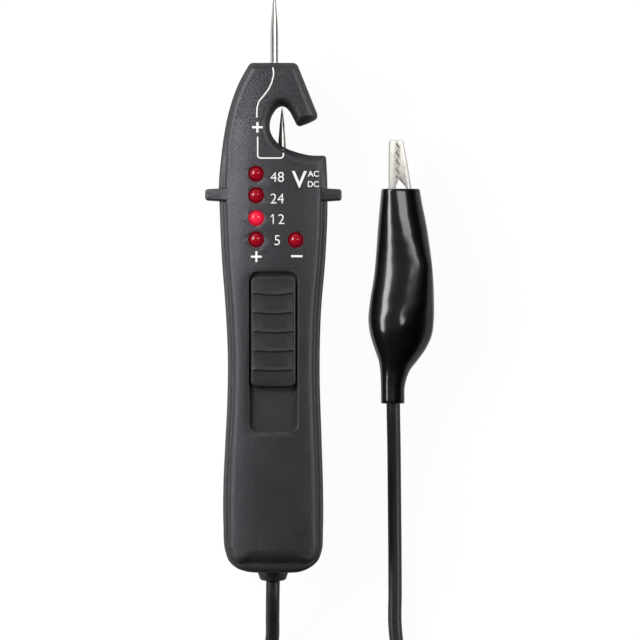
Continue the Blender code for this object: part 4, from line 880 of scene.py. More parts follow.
def rounded_rectangle(x_low, x_high, y_low, y_high, radius, steps=8):
    """Corners of a rectangle with round corners, anticlockwise."""
    centres = [(x_high - radius, y_low + radius, -90), (x_high - radius, y_high - radius, 0),
               (x_low + radius, y_high - radius, 90), (x_low + radius, y_low + radius, 180)]
    points = []
    for x, y, start in centres:
        for step in range(steps + 1):
            angle = math.radians(start + 90 * step / steps)
            points.append((x + radius * math.cos(angle), y + radius * math.sin(angle)))
    return points


def flared(outline_at, floor_z, lip):
    """A cutter with a rounded lip just below the crowned face. outline_at gives its outline at a growth."""
    rings = [[(x, y, floor_z) for x, y in outline_at(0.0)]]
    for step in range(4):
        angle = math.radians(90 * step / 4)
        grown = lip * (1 - math.cos(angle))
        depth = lip * (1 - math.sin(angle))
        rings.append([(x, y, crown(x, y) - depth) for x, y in outline_at(grown)])
    rings.append([(x, y, crown(x, y) + 0.02) for x, y in outline_at(lip * 1.05)])
    rings.append([(x, y, crown(x, y) + 1.0) for x, y in outline_at(lip * 1.05)])
    return rings_mesh(rings)


def lamp_hole(x, y):
    """The flared hole over a lamp."""
    def circle(grown):
        radius = LENS_RADIUS + HOLE_CLEAR + grown
        return [(x + radius * math.cos(math.tau * step / 40), y + radius * math.sin(math.tau * step / 40))
                for step in range(40)]
    return flared(circle, ROOF_Z - 1.0, 0.16)


def track_outline(grown):
    """The track's outline, a little larger for its lip."""
    points = rounded_rectangle(-TRACK_X - grown, TRACK_X + grown, TRACK_LOW_Y - grown,
                               TRACK_HIGH_Y + grown, TRACK_RADIUS + grown)
    return divided(points, 2.5)


def divided(points, step):
    """The same closed outline with its long sides divided."""
    made = []
    for (ax, ay), (bx, by) in zip(points, points[1:] + points[:1]):
        count = max(1, round(math.hypot(bx - ax, by - ay) / step))
        for index in range(count):
            t = index / count
            made.append((ax + (bx - ax) * t, ay + (by - ay) * t))
    return made


def rod(radius, start, end, sides=32):
    """A round rod between two places."""
    start, end = Vector(start), Vector(end)
    axis = end - start
    bm = bmesh.new()
    turn = Vector((0.0, 0.0, 1.0)).rotation_difference(axis.normalized()).to_matrix().to_4x4()
    bmesh.ops.create_cone(bm, cap_ends=True, segments=sides, radius1=radius, radius2=radius,
                          depth=axis.length, matrix=Matrix.Translation((start + end) / 2) @ turn)
    return bm


# %% Values of what runs through the seam
NEEDLE_X = 1.75
NEEDLE_RADIUS = 0.86
PROBE_X = 0.18
PROBE_RADIUS = 0.8
LEAD_X = -0.1
NEEDLE_BORE_Y = (82.8, 90.0)
PROBE_BORE_Y = (98.0, 107.1)
COLLAR_BORE = 1.8
COLLAR_BORE_Y = (98.9, 101.5)
LEAD_BORE = 2.65
LEAD_BORE_Y = (-3.0, 3.0)
SCREW_BORE = 1.4
SCREW_BORE_Z = (1.2, 12.7)
BOSS_RADIUS = 2.7
BOSS_LOW_Z = 1.3
BOSS_TOP_Z = 13.5
SCREWS = {"shell_screw_low": (0.0, 13.0), "shell_screw_high": (-6.4, 88.0)}


def seam_bores():
    """Room half in each shell: for the needle, the probe with its collar, the lead and the contact."""
    bores = [("DIFFERENCE", rod(radius, (x, low_y, SEAM_Z), (x, high_y, SEAM_Z), sides))
             for radius, x, (low_y, high_y), sides in (
                 (NEEDLE_RADIUS + GAP, NEEDLE_X, NEEDLE_BORE_Y, 32),
                 (PROBE_RADIUS + GAP, PROBE_X, PROBE_BORE_Y, 32),
                 (COLLAR_BORE, PROBE_X, COLLAR_BORE_Y, 32),
                 (LEAD_BORE, LEAD_X, LEAD_BORE_Y, 40))]
    return bores + [("DIFFERENCE", block((-3.9, 82.8, 7.15), (-1.9, 98.3, 8.15)))]


def screw_bores():
    """Bores for the screws' shanks."""
    low_z, high_z = SCREW_BORE_Z
    return [("DIFFERENCE", rod(SCREW_BORE, (x, y, low_z), (x, y, high_z), 24)) for x, y in SCREWS.values()]


def low_boss(low_z, high_z):
    """The boss round the low screw, in one of the shells."""
    x, y = SCREWS["shell_screw_low"]
    return ("UNION", rod(BOSS_RADIUS, (x, y, low_z), (x, y, high_z)))


# %% Carve the front shell
steps = [("UNION", wing(side, front_low, WING_TOP_Z, WING_TOP_Z)) for side in (-1, 1)]
steps.append(("DIFFERENCE", hollow()))
steps.append(low_boss(front_low, BOSS_TOP_Z))
steps += seam_bores() + screw_bores()
steps.append(("DIFFERENCE", flared(track_outline, TRACK_FLOOR_Z, 0.2)))
steps.append(("DIFFERENCE", block((-1.6, 38.2, 12.0), (1.6, 51.3, 16.2))))
steps += [("DIFFERENCE", lamp_hole(x, y)) for x, y in LAMPS.values()]
carve(front_shell, steps)
smooth(front_shell)
carried(front_shell, "tester", "housing_plastic", "front_shell")

# %% [markdown]
# ## The rear shell
#
# The back is what a hand and a table touch: flat, with a generous rounded edge all round. It shares the
# outline, the hollow and the seam's bores with the front, and it has the trough in which the needle's
# carrier and spring run, the bosses and the two sunk screw holes.

# %% Skin and carving of the rear shell
BACK_EDGE = 1.5
SCREW_SINK = [(0.0, -1.0), (2.5, -1.0), (2.5, 0.0), (2.25, 0.25), (2.25, 2.2), (0.0, 2.2)]
rear_top = SEAM_Z - GAP / 2
rings = []
for step in range(9):
    angle = math.pi / 2 * step / 8
    rings.append([(p.x, p.y, BACK_EDGE * (1 - math.cos(angle)))
                  for p in outline(BACK_EDGE * (1 - math.sin(angle)))])
rings.append([(p.x, p.y, rear_top - SEAM_STEP) for p in outline(0.0)])
rings.append([(p.x, p.y, rear_top) for p in outline(SEAM_STEP)])
rear_shell = as_object("housing_rear", rings_mesh(rings), housing_plastic)

steps = [("UNION", wing(side, WING_BACK_Z, rear_top, WING_BACK_Z)) for side in (-1, 1)]
steps.append(("DIFFERENCE", hollow()))
steps.append(("UNION", block((-3.9, 29.5, 1.3), (4.7, 62.5, 9.0))))
steps.append(("DIFFERENCE", block((-2.9, 30.0, 5.3), (3.7, 63.5, 10.0))))
steps.append(low_boss(BOSS_LOW_Z, rear_top))
steps += seam_bores() + screw_bores()
steps += [("DIFFERENCE", turned(SCREW_SINK, (x, y, 0.0), (0.0, 0.0, 1.0))) for x, y in SCREWS.values()]
carve(rear_shell, steps)
smooth(rear_shell)
carried(rear_shell, "tester", "housing_plastic", "rear_shell")

# %% [markdown]
# ## The thumb slide
#
# The slide is a separate moulding a little lower than the face, with soft edges and five arched ribs for
# the thumb. A rib is a low bead that sags in the middle like a shallow smile. It is grown along its arc
# from one small section, and joined to the slide.

# %% Slide and its ribs
SLIDE_WIDTH = 8.98
SLIDE_LOW_Y = 38.0
SLIDE_HIGH_Y = 60.5
SLIDE_RADIUS = 1.25
SLIDE_TOP_Z = 16.6
SLIDE_SOFTENING = 0.28
RIB_COUNT = 5
RIB_TOP_Y = 57.5
RIB_PITCH = 3.92
RIB_REACH_X = 4.3
RIB_SAG = 0.5
RIB_SECTION = [(-0.34, -0.3), (-0.34, 0.1), (-0.3, 0.28), (-0.2, 0.37), (-0.06, 0.38), (0.1, 0.3),
               (0.3, 0.12), (0.5, 0.01), (0.6, -0.06), (0.6, -0.3)]


def rib(y, sag):
    """One rib: its section swept along a sagging arc, lower towards both ends."""
    rings = []
    count = 24
    for step in range(count + 1):
        t = -1.0 + 2.0 * step / count
        x = RIB_REACH_X * t
        middle = y - sag * (1 - t * t)
        low = 0.3 * abs(t) ** 12
        rings.append([(x, middle + across, SLIDE_TOP_Z + (up - low if up > 0 else up))
                      for across, up in RIB_SECTION])
    return rings_mesh(rings)


low_z = TRACK_FLOOR_Z + GAP
bm = plate(rounded_rectangle(-SLIDE_WIDTH / 2, SLIDE_WIDTH / 2, SLIDE_LOW_Y, SLIDE_HIGH_Y, SLIDE_RADIUS),
           low_z, SLIDE_TOP_Z)
top_edges = [e for e in bm.edges if all(abs(v.co.z - SLIDE_TOP_Z) < 1e-6 for v in e.verts)]
soften(bm, top_edges, SLIDE_SOFTENING, 5)
thumb_slide = as_object("slide_cap", bm, slide_plastic)
steps = [("UNION", rib(RIB_TOP_Y - RIB_PITCH * index, RIB_SAG * (1 - 0.13 * index)))
         for index in range(RIB_COUNT)]
steps.append(("DIFFERENCE", block((-1.6, 47.2, 14.5), (1.6, 51.3, 16.2))))
carve(thumb_slide, steps)
smooth(thumb_slide)
carried(thumb_slide, "slide", "slide_plastic", "thumb_slide")

# %% [markdown]
# ## The lamps
#
# Each lamp is a 3 mm indicator with a clear tinted lens. A red ball would look like paint, so the lens is a
# turned epoxy body with a flange, which lets some light through, and the small metal cup and post that
# carry the light source are cast into it. The pale specks on the domes are the reflections of two lamps.

# %% Lenses, cups and posts
LENS_PROUD = 0.35
LENS_BASE_Z = ROOF_Z - GAP - 1.0
lenses = []
for name, (x, y) in LAMPS.items():
    top = crown(x, y) + LENS_PROUD - LENS_BASE_Z
    dome = top - LENS_RADIUS
    profile = [(0.0, top)]
    for step in range(1, 13):
        angle = math.pi / 2 * step / 12
        profile.append((LENS_RADIUS * math.sin(angle), dome + LENS_RADIUS * math.cos(angle)))
    profile += [(LENS_RADIUS, 1.0), (1.9, 1.0), (1.9, 0.0), (0.0, 0.0)]
    lens = as_object("lens_" + name[4:], turned(profile, (x, y, LENS_BASE_Z), (0.0, 0.0, 1.0)),
                     lit_lens if name == "led_12" else red_lens)
    lenses.append(smooth(lens, 40.0))
    carried(lens, "tester", "lit_lens" if name == "led_12" else "red_lens", name)
    cup_z = LENS_BASE_Z + dome - 0.1
    frame_piece = as_object("frame_" + name[4:], block(
        (x - 0.52, y - 0.12, LENS_BASE_Z + 0.2), (x - 0.26, y + 0.34, cup_z + 0.45)), pressed_nickel)
    carve(frame_piece, [("UNION", block((x - 0.4, y - 0.2, LENS_BASE_Z + 0.3), (x + 0.3, y + 0.0, cup_z))),
                        ("UNION", block((x + 0.04, y - 0.26, LENS_BASE_Z + 0.25),
                                        (x + 0.3, y + 0.1, cup_z + 0.35)))])
    smooth(frame_piece)
    carried(frame_piece, "tester", "nickel")

# %% [markdown]
# ## Probe tip and needle
#
# Both are turned from wire, so both are profiles spun about their own axis. The probe tapers a little to
# a blunt end, and the needle grinds down to a point in the hook.

# %% Probe and needle
PROBE_TAIL_Y = 98.3
probe_profile = [(0.0, 18.8), (0.14, 18.78), (0.25, 18.7), (0.31, 18.58), (0.34, 18.4), (0.56, 15.6),
                 (0.72, 13.6), (0.785, 12.7), (PROBE_RADIUS, 11.9), (PROBE_RADIUS, 2.9), (1.5, 2.9),
                 (1.5, 0.9), (PROBE_RADIUS, 0.9), (PROBE_RADIUS, 0.0), (0.0, 0.0)]
probe = as_object("probe_pin", turned(probe_profile, (PROBE_X, PROBE_TAIL_Y, SEAM_Z), (0.0, 1.0, 0.0)),
                  turned_nickel)
carried(smooth(probe, 40.0), "tester", "nickel", "probe_tip")

NEEDLE_TAIL_Y = 50.0
needle_profile = [(0.0, 45.1), (0.04, 45.06), (0.06, 44.95), (0.3, 43.2), (0.53, 41.0), (0.7, 38.8),
                  (0.81, 37.0), (NEEDLE_RADIUS, 35.9), (NEEDLE_RADIUS, 0.0), (0.0, 0.0)]
needle = as_object("needle_pin", turned(needle_profile, (NEEDLE_X, NEEDLE_TAIL_Y, SEAM_Z), (0.0, 1.0, 0.0)),
                   turned_nickel)
carried(smooth(needle, 40.0), "slide", "nickel", "piercing_needle")

# %% [markdown]
# ## The grommet
#
# A soft collar holds the lead where it leaves the housing. It is turned too, with rounded edges and a
# flange inside the shell that keeps it from being pulled out.

# %% Grommet
grommet_profile = [(1.45, -1.73), (1.45, 3.6), (3.4, 3.6), (3.4, 2.4), (2.35, 2.4), (2.35, 0.02),
                   (2.95, 0.02), (3.05, -0.05), (3.07, -0.16), (2.95, -0.5), (2.8, -0.95), (2.68, -1.25),
                   (2.54, -1.45), (2.3, -1.6), (1.9, -1.7), (1.6, -1.73)]
grommet = as_object("lead_grommet", turned(grommet_profile, (LEAD_X, 0.0, SEAM_Z), (0.0, 1.0, 0.0), 56),
                    grommet_vinyl)
carried(smooth(grommet, 50.0), "tester", "lead_vinyl", "cable_grommet")

# %% [markdown]
# ## The clip's boot
#
# The boot is a dipped vinyl sleeve. Its sections start round at the lead, swell over the jaws' levers and
# narrow to a rounded square at the mouth. The sleeve is tight over the moving jaw's shoulder, which pulls
# a long soft crease from the mouth down to the right of the bulge. Outside and inside are one skin that
# turns over at the mouth and at the neck.

# %% Boot sections and skin
CLIP_Z = 5.6
BOOT_WALL = 0.8
# Each section of the sleeve: y, the middle's x, half its width, half its height, how square it is
BOOT_SECTIONS = [
    (34.7, 24.4, 2.4, 2.4, 2.0), (38.5, 24.45, 2.5, 2.45, 2.0), (41.4, 24.9, 3.1, 2.9, 2.0),
    (43.2, 25.45, 3.95, 3.6, 2.0), (45.6, 25.9, 5.2, 4.55, 2.0), (48.5, 26.1, 6.3, 5.35, 2.0),
    (51.5, 26.1, 6.7, 5.6, 2.05), (55.5, 26.3, 6.55, 5.6, 2.05), (60.5, 26.6, 6.05, 5.45, 2.1),
    (66.0, 26.55, 5.5, 5.15, 2.15), (71.0, 26.35, 4.95, 4.8, 2.25), (75.5, 26.1, 4.3, 4.35, 2.4),
    (78.2, 26.0, 3.95, 4.1, 2.5)]
# How far the top of the sleeve leans to the right over the moving jaw's shoulder: y, lean
BOOT_LEAN = [(34.0, 0.0), (49.0, 0.0), (51.5, 0.4), (55.4, 1.7), (59.3, 2.1), (62.8, 2.5), (65.5, 1.8),
             (69.0, 0.95), (73.7, 0.35), (79.0, 0.0)]
# The small pinch on top: x, y, height, reach
PINCH = (26.2, 50.2, 0.3, 1.5)
BOOT_STEPS = 7
BOOT_SIDES = 96
sections = smooth_line([Vector((y, x, half_x, half_z)) for y, x, half_x, half_z, _ in BOOT_SECTIONS],
                       BOOT_STEPS)


def power_at(index):
    """How square the sleeve is at a step: on a straight line from one section to the next."""
    powers = [section[4] for section in BOOT_SECTIONS]
    low, part = divmod(index, BOOT_STEPS)
    high = min(low + 1, len(powers) - 1)
    return powers[low] + part / BOOT_STEPS * (powers[high] - powers[low])


squareness = [power_at(index) for index in range(len(sections))]


def lean_at(y):
    """The sleeve's lean at a place along it."""
    for (low_y, low), (high_y, high) in zip(BOOT_LEAN, BOOT_LEAN[1:]):
        if y <= high_y:
            return low + (high - low) * smoothstep(low_y, high_y, y)
    return 0.0


def boot_ring(section, power, shrink, ahead=0.0):
    """One rounded ring of the boot, smaller by a wall where it is the inside, its top leaning right."""
    y, middle, half_x, half_z = section
    ring = []
    for step in range(BOOT_SIDES):
        angle = math.tau * step / BOOT_SIDES
        across, up = math.cos(angle), math.sin(angle)
        x = (half_x - shrink) * math.copysign(abs(across) ** (2 / power), across)
        z = (half_z - shrink) * math.copysign(abs(up) ** (2 / power), up)
        if z > 0.0:
            x += lean_at(y) * (z / half_z) ** 2
            pinch_x, pinch_y, height, reach = PINCH
            off = ((middle + x - pinch_x) ** 2 + (y - pinch_y) ** 2) / reach ** 2
            z += height * math.exp(-off)
        ring.append((middle + x, y + ahead, CLIP_Z + z))
    return ring


outer = [boot_ring(section, power, 0.0) for section, power in zip(sections, squareness)]
inner = [boot_ring(section, power + 0.9 * smoothstep(44.0, 50.0, section[0]),
                   min(BOOT_WALL, section[3] - LEAD_RADIUS - 0.1))
         for section, power in zip(sections, squareness)]
mouth, mouth_power = sections[-1], squareness[-1]
neck, neck_power = sections[0], squareness[0]
mouth_turn = [boot_ring(mouth, mouth_power + shrink, shrink, ahead)
              for shrink, ahead in ((0.1, 0.16), (0.28, 0.24), (0.52, 0.24), (0.7, 0.16))]
neck_turn = [boot_ring(neck, neck_power, shrink, ahead)
             for shrink, ahead in ((0.7, -0.14), (0.5, -0.22), (0.28, -0.22), (0.1, -0.14))]
bm = rings_mesh(outer + mouth_turn + inner[::-1] + neck_turn, capped=False)
bm.edges.ensure_lookup_table()
bmesh.ops.bridge_loops(bm, edges=[e for e in bm.edges if e.is_boundary])
boot = as_object("clip_sleeve", bm, boot_vinyl)
smooth(boot, 60.0)
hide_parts("clip_boot")
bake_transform(boot)
print(boot.name, len(boot.data.polygons), "faces")

# %% [markdown]
# ## The clip's jaws
#
# Both jaws are pressed from nickel-plated sheet: a flat cheek, a folded side and a row of teeth. The
# moving jaw is the wider one, and its cheek lies just above the other's, so from above its teeth draw a
# fine dark zigzag. Each jaw is its full outline raised to its height, with softened edges. The room
# inside the folded channel and the rivet's hole are cut out of it.

# %% Jaws
PIVOT = (26.0, 66.5)
SHEET = 0.5
TOOTH_PITCH = 1.7
TOOTH_COUNT = 4
TOOTH_LOW_Y = 80.9
JAW_TIP_Y = 88.5
JAW_SOFTENING = 0.11
FIXED_HALF = 2.0
MOVING_HALF = 2.8
EAR_RADIUS = 2.6
EAR_STEPS = 12
RIVET_BORE = 1.4
CRIMP_RADIUS = 2.2
CRIMP_BORE = 1.45


def tooth_edge(x_low, x_high):
    """The zigzag edge of a jaw, from its tip down to its heel."""
    points = []
    for index in range(2 * TOOTH_COUNT + 1):
        x = x_high if index % 2 else x_low
        points.append((x, TOOTH_LOW_Y + TOOTH_PITCH * index / 2))
    return points[::-1]


def arc(x, y, radius, start_deg, end_deg, steps):
    """Points of an arc about a place: the round ear about the rivet, and corners of a printed line."""
    return [(x + radius * math.cos(math.radians(start_deg + (end_deg - start_deg) * step / steps)),
             y + radius * math.sin(math.radians(start_deg + (end_deg - start_deg) * step / steps)))
            for step in range(steps + 1)]


def nibbled(x_low, x_high, count=3):
    """The tip's edge, with small notches, from its higher x to its lower."""
    points = []
    for index in range(2 * count + 1):
        x = x_high + (x_low - x_high) * index / (2 * count)
        points.append((x, JAW_TIP_Y - (0.22 if index % 2 else 0.0)))
    return points


def sheet_jaw(outline_points, half):
    """A jaw's outline raised to its full height, with its edges softened."""
    bm = plate(outline_points, CLIP_Z - half, CLIP_Z + half)
    flat = [e for e in bm.edges if abs(e.verts[0].co.z - e.verts[1].co.z) < 1e-6]
    soften(bm, flat, JAW_SOFTENING, 3)
    return bm


def channel(outer, inward, half):
    """The room in a jaw: its outer edge moved in by the sheet, and everything beyond it."""
    moved = []
    for index, (x, y) in enumerate(outer):
        before = Vector(outer[max(index - 1, 0)])
        after = Vector(outer[min(index + 1, len(outer) - 1)])
        ahead = (after - before).normalized()
        moved.append((x + inward * ahead.y * SHEET, y - inward * ahead.x * SHEET))
    reach = 12.0 * inward
    low, high = moved[0], moved[-1]
    points = moved + [(high[0], high[1] + 2.0), (high[0] + reach, high[1] + 2.0),
                      (low[0] + reach, low[1] - 2.0), (low[0], low[1] - 2.0)]
    return plate(points, CLIP_Z - half + SHEET, CLIP_Z + half - SHEET)


rivet_hole = ((*PIVOT, CLIP_Z - 3.8), (*PIVOT, CLIP_Z + 3.8))
fixed_outer = [(22.9, 46.7), (21.6, 49.8), (20.9, 53.0), (21.2, 57.5), (22.1, 62.5), (22.9, 68.0),
               (23.4, 74.0), (23.55, 79.0), (23.6, 87.2), (23.75, 88.3)]
fixed_outline = (nibbled(23.95, 25.0) + fixed_outer[::-1]
                 + [(24.2, 46.7), (23.0, 50.5), (22.5, 53.0), (22.9, 57.0), (23.5, 61.0)]
                 + arc(*PIVOT, EAR_RADIUS, -115, 60, EAR_STEPS)
                 + [(26.2, 70.2), (25.1, 74.0), (25.0, 79.0), (25.55, 80.2)]
                 + tooth_edge(25.0, 25.75)[::-1])
fixed_jaw = as_object("jaw_fixed", sheet_jaw(fixed_outline[::-1], FIXED_HALF), pressed_nickel)
carve(fixed_jaw, [("DIFFERENCE", channel(fixed_outer, 1, FIXED_HALF)),
                  ("UNION", rod(CRIMP_RADIUS, (24.5, 43.0, CLIP_Z), (24.5, 47.5, CLIP_Z))),
                  ("DIFFERENCE", rod(CRIMP_BORE, (24.5, 42.0, CLIP_Z), (24.5, 48.7, CLIP_Z))),
                  ("DIFFERENCE", rod(RIVET_BORE, *rivet_hole))])
carried(smooth(fixed_jaw, 25.0), "tester", "nickel", "clip_fixed_jaw")

moving_outer = [(30.6, 49.6), (31.25, 53.5), (31.1, 58.0), (30.4, 63.0), (29.5, 68.0), (28.9, 73.0),
                (28.2, 78.5), (27.3, 84.0), (26.5, 88.3)]
moving_outline = (moving_outer + nibbled(25.35, 26.3) + tooth_edge(25.05, 25.75)
                  + [(25.9, 80.15), (27.2, 78.7), (27.2, 75.0), (25.2, 71.0)]
                  + arc(*PIVOT, EAR_RADIUS, 120, 290, EAR_STEPS)
                  + [(28.6, 61.0), (29.4, 57.5), (29.6, 53.5), (29.2, 50.0)])
moving_jaw = as_object("jaw_moving", sheet_jaw(moving_outline, MOVING_HALF), pressed_nickel)
carve(moving_jaw, [("DIFFERENCE", channel(moving_outer[::-1], -1, MOVING_HALF)),
                   ("DIFFERENCE", rod(RIVET_BORE, *rivet_hole))])
carried(smooth(moving_jaw, 25.0), "moving_jaw", "nickel", "clip_moving_jaw")

# %% [markdown]
# ## Printed marks
#
# The scale beside the lamps is printed in white: voltages, the polarity signs, and a line that traces the
# circuit from the probe round the hook. Letters could be a texture, but a thin mesh stays sharp at any
# size. A text object is turned into a mesh, laid on the finished face and given the thickness of the ink.

# %% Text and strokes laid on the face
INK = 0.02
ABOVE_Z = 30.0
MARK_GRID = (0.4, 0.8)
face_tree = BVHTree.FromPolygons([v.co for v in front_shell.data.vertices],
                                 [face.vertices for face in front_shell.data.polygons])


def face_height(x, y):
    """Height of the finished front shell at a place, in the tester's millimetres."""
    above = in_frame(x, y, ABOVE_Z)
    hit = face_tree.ray_cast(above, Vector((0.0, 0.0, -1.0)))[0]
    return ABOVE_Z - (above.z - hit.z) / MM


def laid_on_face(bm):
    """A flat mark dropped onto the face and thickened into a closed sheet of ink."""
    for axis, grid in enumerate(MARK_GRID):
        normal = Vector((0.0, 0.0, 0.0))
        normal[axis] = 1.0
        low = min(v.co[axis] for v in bm.verts)
        high = max(v.co[axis] for v in bm.verts)
        for step in range(math.ceil(low / grid), math.floor(high / grid) + 1):
            everything = list(bm.verts) + list(bm.edges) + list(bm.faces)
            bmesh.ops.bisect_plane(bm, geom=everything, plane_co=normal * grid * step, plane_no=normal)
    made = bmesh.ops.extrude_face_region(bm, geom=list(bm.faces))
    raised = {item for item in made["geom"] if isinstance(item, bmesh.types.BMVert)}
    for vert in bm.verts:
        vert.co.z = face_height(vert.co.x, vert.co.y) + (INK if vert in raised else -INK)
    return bm


def word(text, height, x, y, weight=0.0):
    """A word as a flat mesh, scaled to a height and centred on a place."""
    curve = bpy.data.curves.new("word", "FONT")
    curve.body = text
    curve.offset = weight
    carrier = bpy.data.objects.new("word", curve)
    bpy.context.scene.collection.objects.link(carrier)
    depsgraph = bpy.context.evaluated_depsgraph_get()
    mesh = bpy.data.meshes.new_from_object(carrier.evaluated_get(depsgraph))
    bm = bmesh.new()
    bm.from_mesh(mesh)
    bpy.data.objects.remove(carrier)
    bpy.data.curves.remove(curve)
    bpy.data.meshes.remove(mesh)
    bmesh.ops.remove_doubles(bm, verts=bm.verts, dist=1e-4)
    xs = [v.co.x for v in bm.verts]
    ys = [v.co.y for v in bm.verts]
    scale = height / (max(ys) - min(ys))
    bmesh.ops.translate(bm, verts=bm.verts, vec=(-(min(xs) + max(xs)) / 2, -(min(ys) + max(ys)) / 2, 0.0))
    bmesh.ops.scale(bm, verts=bm.verts, vec=(scale, scale, 1.0))
    bmesh.ops.translate(bm, verts=bm.verts, vec=(x, y, 0.0))
    return bm


def stroke(points, width):
    """A flat stroke along points: one edge, extruded from place to place."""
    points = [Vector(point) for point in points]
    normals = left_normals(points)
    bm = bmesh.new()
    left = bm.verts.new((*(points[0] + normals[0] * width / 2), 0.0))
    right = bm.verts.new((*(points[0] - normals[0] * width / 2), 0.0))
    edge = bm.edges.new((left, right))
    for point, normal in zip(points[1:], normals[1:]):
        made = bmesh.ops.extrude_edge_only(bm, edges=[edge])
        fresh = {item for item in made["geom"] if isinstance(item, bmesh.types.BMVert)}
        next_left = next(e.other_vert(left) for e in left.link_edges if e.other_vert(left) in fresh)
        next_right = next(e.other_vert(right) for e in right.link_edges if e.other_vert(right) in fresh)
        next_left.co = (*(point + normal * width / 2), 0.0)
        next_right.co = (*(point - normal * width / 2), 0.0)
        left, right = next_left, next_right
        edge = bm.edges.get((left, right))
    return bm


def bars(boxes):
    """Flat bars, each from a centre and a size."""
    bm = bmesh.new()
    for x, y, wide, high in boxes:
        place = Matrix.Translation((x, y, 0.0)) @ Matrix.Diagonal((wide, high, 1.0, 1.0))
        bmesh.ops.create_grid(bm, x_segments=1, y_segments=1, size=0.5, matrix=place)
    return bm


def joined(meshes):
    """Several bmeshes in one."""
    whole = bmesh.new()
    for part in meshes:
        mesh = bpy.data.meshes.new("part")
        part.to_mesh(mesh)
        part.free()
        whole.from_mesh(mesh)
        bpy.data.meshes.remove(mesh)
    return whole


# %% The scale, the signs and the line
marks = [laid_on_face(word(text, height, x, y, weight)) for text, height, x, y, weight in (
    ("48", 2.0, 0.78, 80.75, -0.008), ("24", 2.0, 0.8, 76.35, -0.008), ("2", 2.0, 1.62, 72.15, -0.008),
    ("5", 2.0, 0.78, 67.85, -0.008), ("V", 3.4, 5.3, 80.25, 0.012), ("AC", 1.2, 8.15, 81.4, 0.012),
    ("DC", 1.2, 8.15, 79.3, 0.012))]
marks.append(laid_on_face(stroke(
    [(-0.5, 72.62), (-0.3, 72.82), (-0.1, 73.06), (-0.02, 73.1), (-0.02, 73.0), (-0.02, 71.15)], 0.2)))
for x, y, size, width in ((-3.45, 64.5, 2.2, 0.42), (-3.25, 90.9, 2.15, 0.45)):
    half = (size - width) / 4 + width / 2
    marks.append(laid_on_face(bars([(x, y, size, width), (x, y + half, width, (size - width) / 2),
                                     (x, y - half, width, (size - width) / 2)])))
marks.append(laid_on_face(bars([(4.78, 64.6, 2.3, 0.42)])))
upper_line = smooth_line([Vector(p) for p in (
    (-0.1, 103.1), (0.04, 101.9), (-0.27, 100.3), (-0.86, 98.9), (-2.0, 97.3), (-2.96, 96.1),
    (-3.3, 94.9), (-3.35, 92.9))], 5)
lower_line = ([Vector((-3.2, 88.95)), Vector((-3.2, 87.0))]
              + [Vector(p) for p in arc(-2.6, 85.2, 0.6, 180, 270, 6)]
              + [Vector(p) for p in arc(1.45, 85.2, 0.6, -90, 0, 6)] + [Vector((2.05, 86.3))])
marks.append(laid_on_face(stroke(upper_line, 0.26)))
marks.append(laid_on_face(stroke(lower_line, 0.27)))
printed = as_object("printed_marks", joined(marks), print_white)
printed.data.shade_flat()
carried(printed, "tester", "housing_plastic")

# %% [markdown]
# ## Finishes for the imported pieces
#
# The pieces whose solids are right as they are keep their shape and get their finish here.

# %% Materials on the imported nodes
PACKED_FINISHES = {
    "shell_screw_low": turned_nickel, "shell_screw_high": turned_nickel, "needle_carrier": inner_plastic,
    "needle_spring": spring_steel, "probe_contact": contact_brass, "needle_contact": contact_brass,
    "circuit_board": board_mask, "driver_chip": component_epoxy, "resistor_1": component_epoxy,
    "resistor_2": component_epoxy, "resistor_3": component_epoxy, "inner_lead": lead_vinyl,
    "coil_tie": grommet_vinyl, "clip_rivet": turned_nickel, "clip_spring": spring_steel}
for name, material in PACKED_FINISHES.items():
    for slot in nodes[name].material_slots:
        slot.material = material
print("packed pieces with a finish:", len(PACKED_FINISHES))

# %% [markdown]
# ## The lead as a real cord
#
# A cord is more than a black tube: its length, thickness, stiffness and what hangs on its end are facts
# of the real thing.

# %% [markdown]
# ## Table and light
#
# The photograph has a white table that runs out of the picture. The table shows as white to the camera,
# but light meets it as a pale diffuse sheet, and a part of that sheet shows through, so that the tester
# still has a faint shadow. In reflections and for bounced light a smaller part of the white is left, and
# hardly any to the right of the clip, so that the pieces are paler on their left side.

# %% Table
TABLE_GLOW = 1.12
SEEN_SHARE = 0.86
BOUNCE_EDGE = (0.03, 0.045)
BOUNCE_SHARES = (0.32, 0.04)

bm = bmesh.new()
bmesh.ops.create_grid(bm, x_segments=1, y_segments=1, size=2.0)
mesh = bpy.data.meshes.new("table")
bm.to_mesh(mesh)
bm.free()
table = bpy.data.objects.new("table", mesh)
bpy.context.scene.collection.objects.link(table)
table_white = bpy.data.materials.new("table_white")
table_white.use_nodes = True
tree = table_white.node_tree
tree.nodes.clear()
sheet = add(tree, "ShaderNodeBsdfDiffuse")
sheet.inputs["Color"].default_value = (0.9, 0.9, 0.9, 1.0)
glow = add(tree, "ShaderNodeEmission")
glow.inputs["Strength"].default_value = TABLE_GLOW
ray = add(tree, "ShaderNodeLightPath")
share = add(tree, "ShaderNodeMath", operation="MULTIPLY")
share.inputs[1].default_value = SEEN_SHARE
place = add(tree, "ShaderNodeSeparateXYZ")
tree.links.new(add(tree, "ShaderNodeNewGeometry").outputs["Position"], place.inputs["Vector"])
bounce = ranged(tree, place.outputs["X"], BOUNCE_EDGE, BOUNCE_SHARES)
shown = add(tree, "ShaderNodeMath", operation="MAXIMUM")
mix = add(tree, "ShaderNodeMixShader")
output = add(tree, "ShaderNodeOutputMaterial")
tree.links.new(ray.outputs["Is Camera Ray"], share.inputs[0])
tree.links.new(share.outputs["Value"], shown.inputs[0])
tree.links.new(bounce, shown.inputs[1])
tree.links.new(shown.outputs["Value"], mix.inputs["Fac"])
tree.links.new(sheet.outputs["BSDF"], mix.inputs[1])
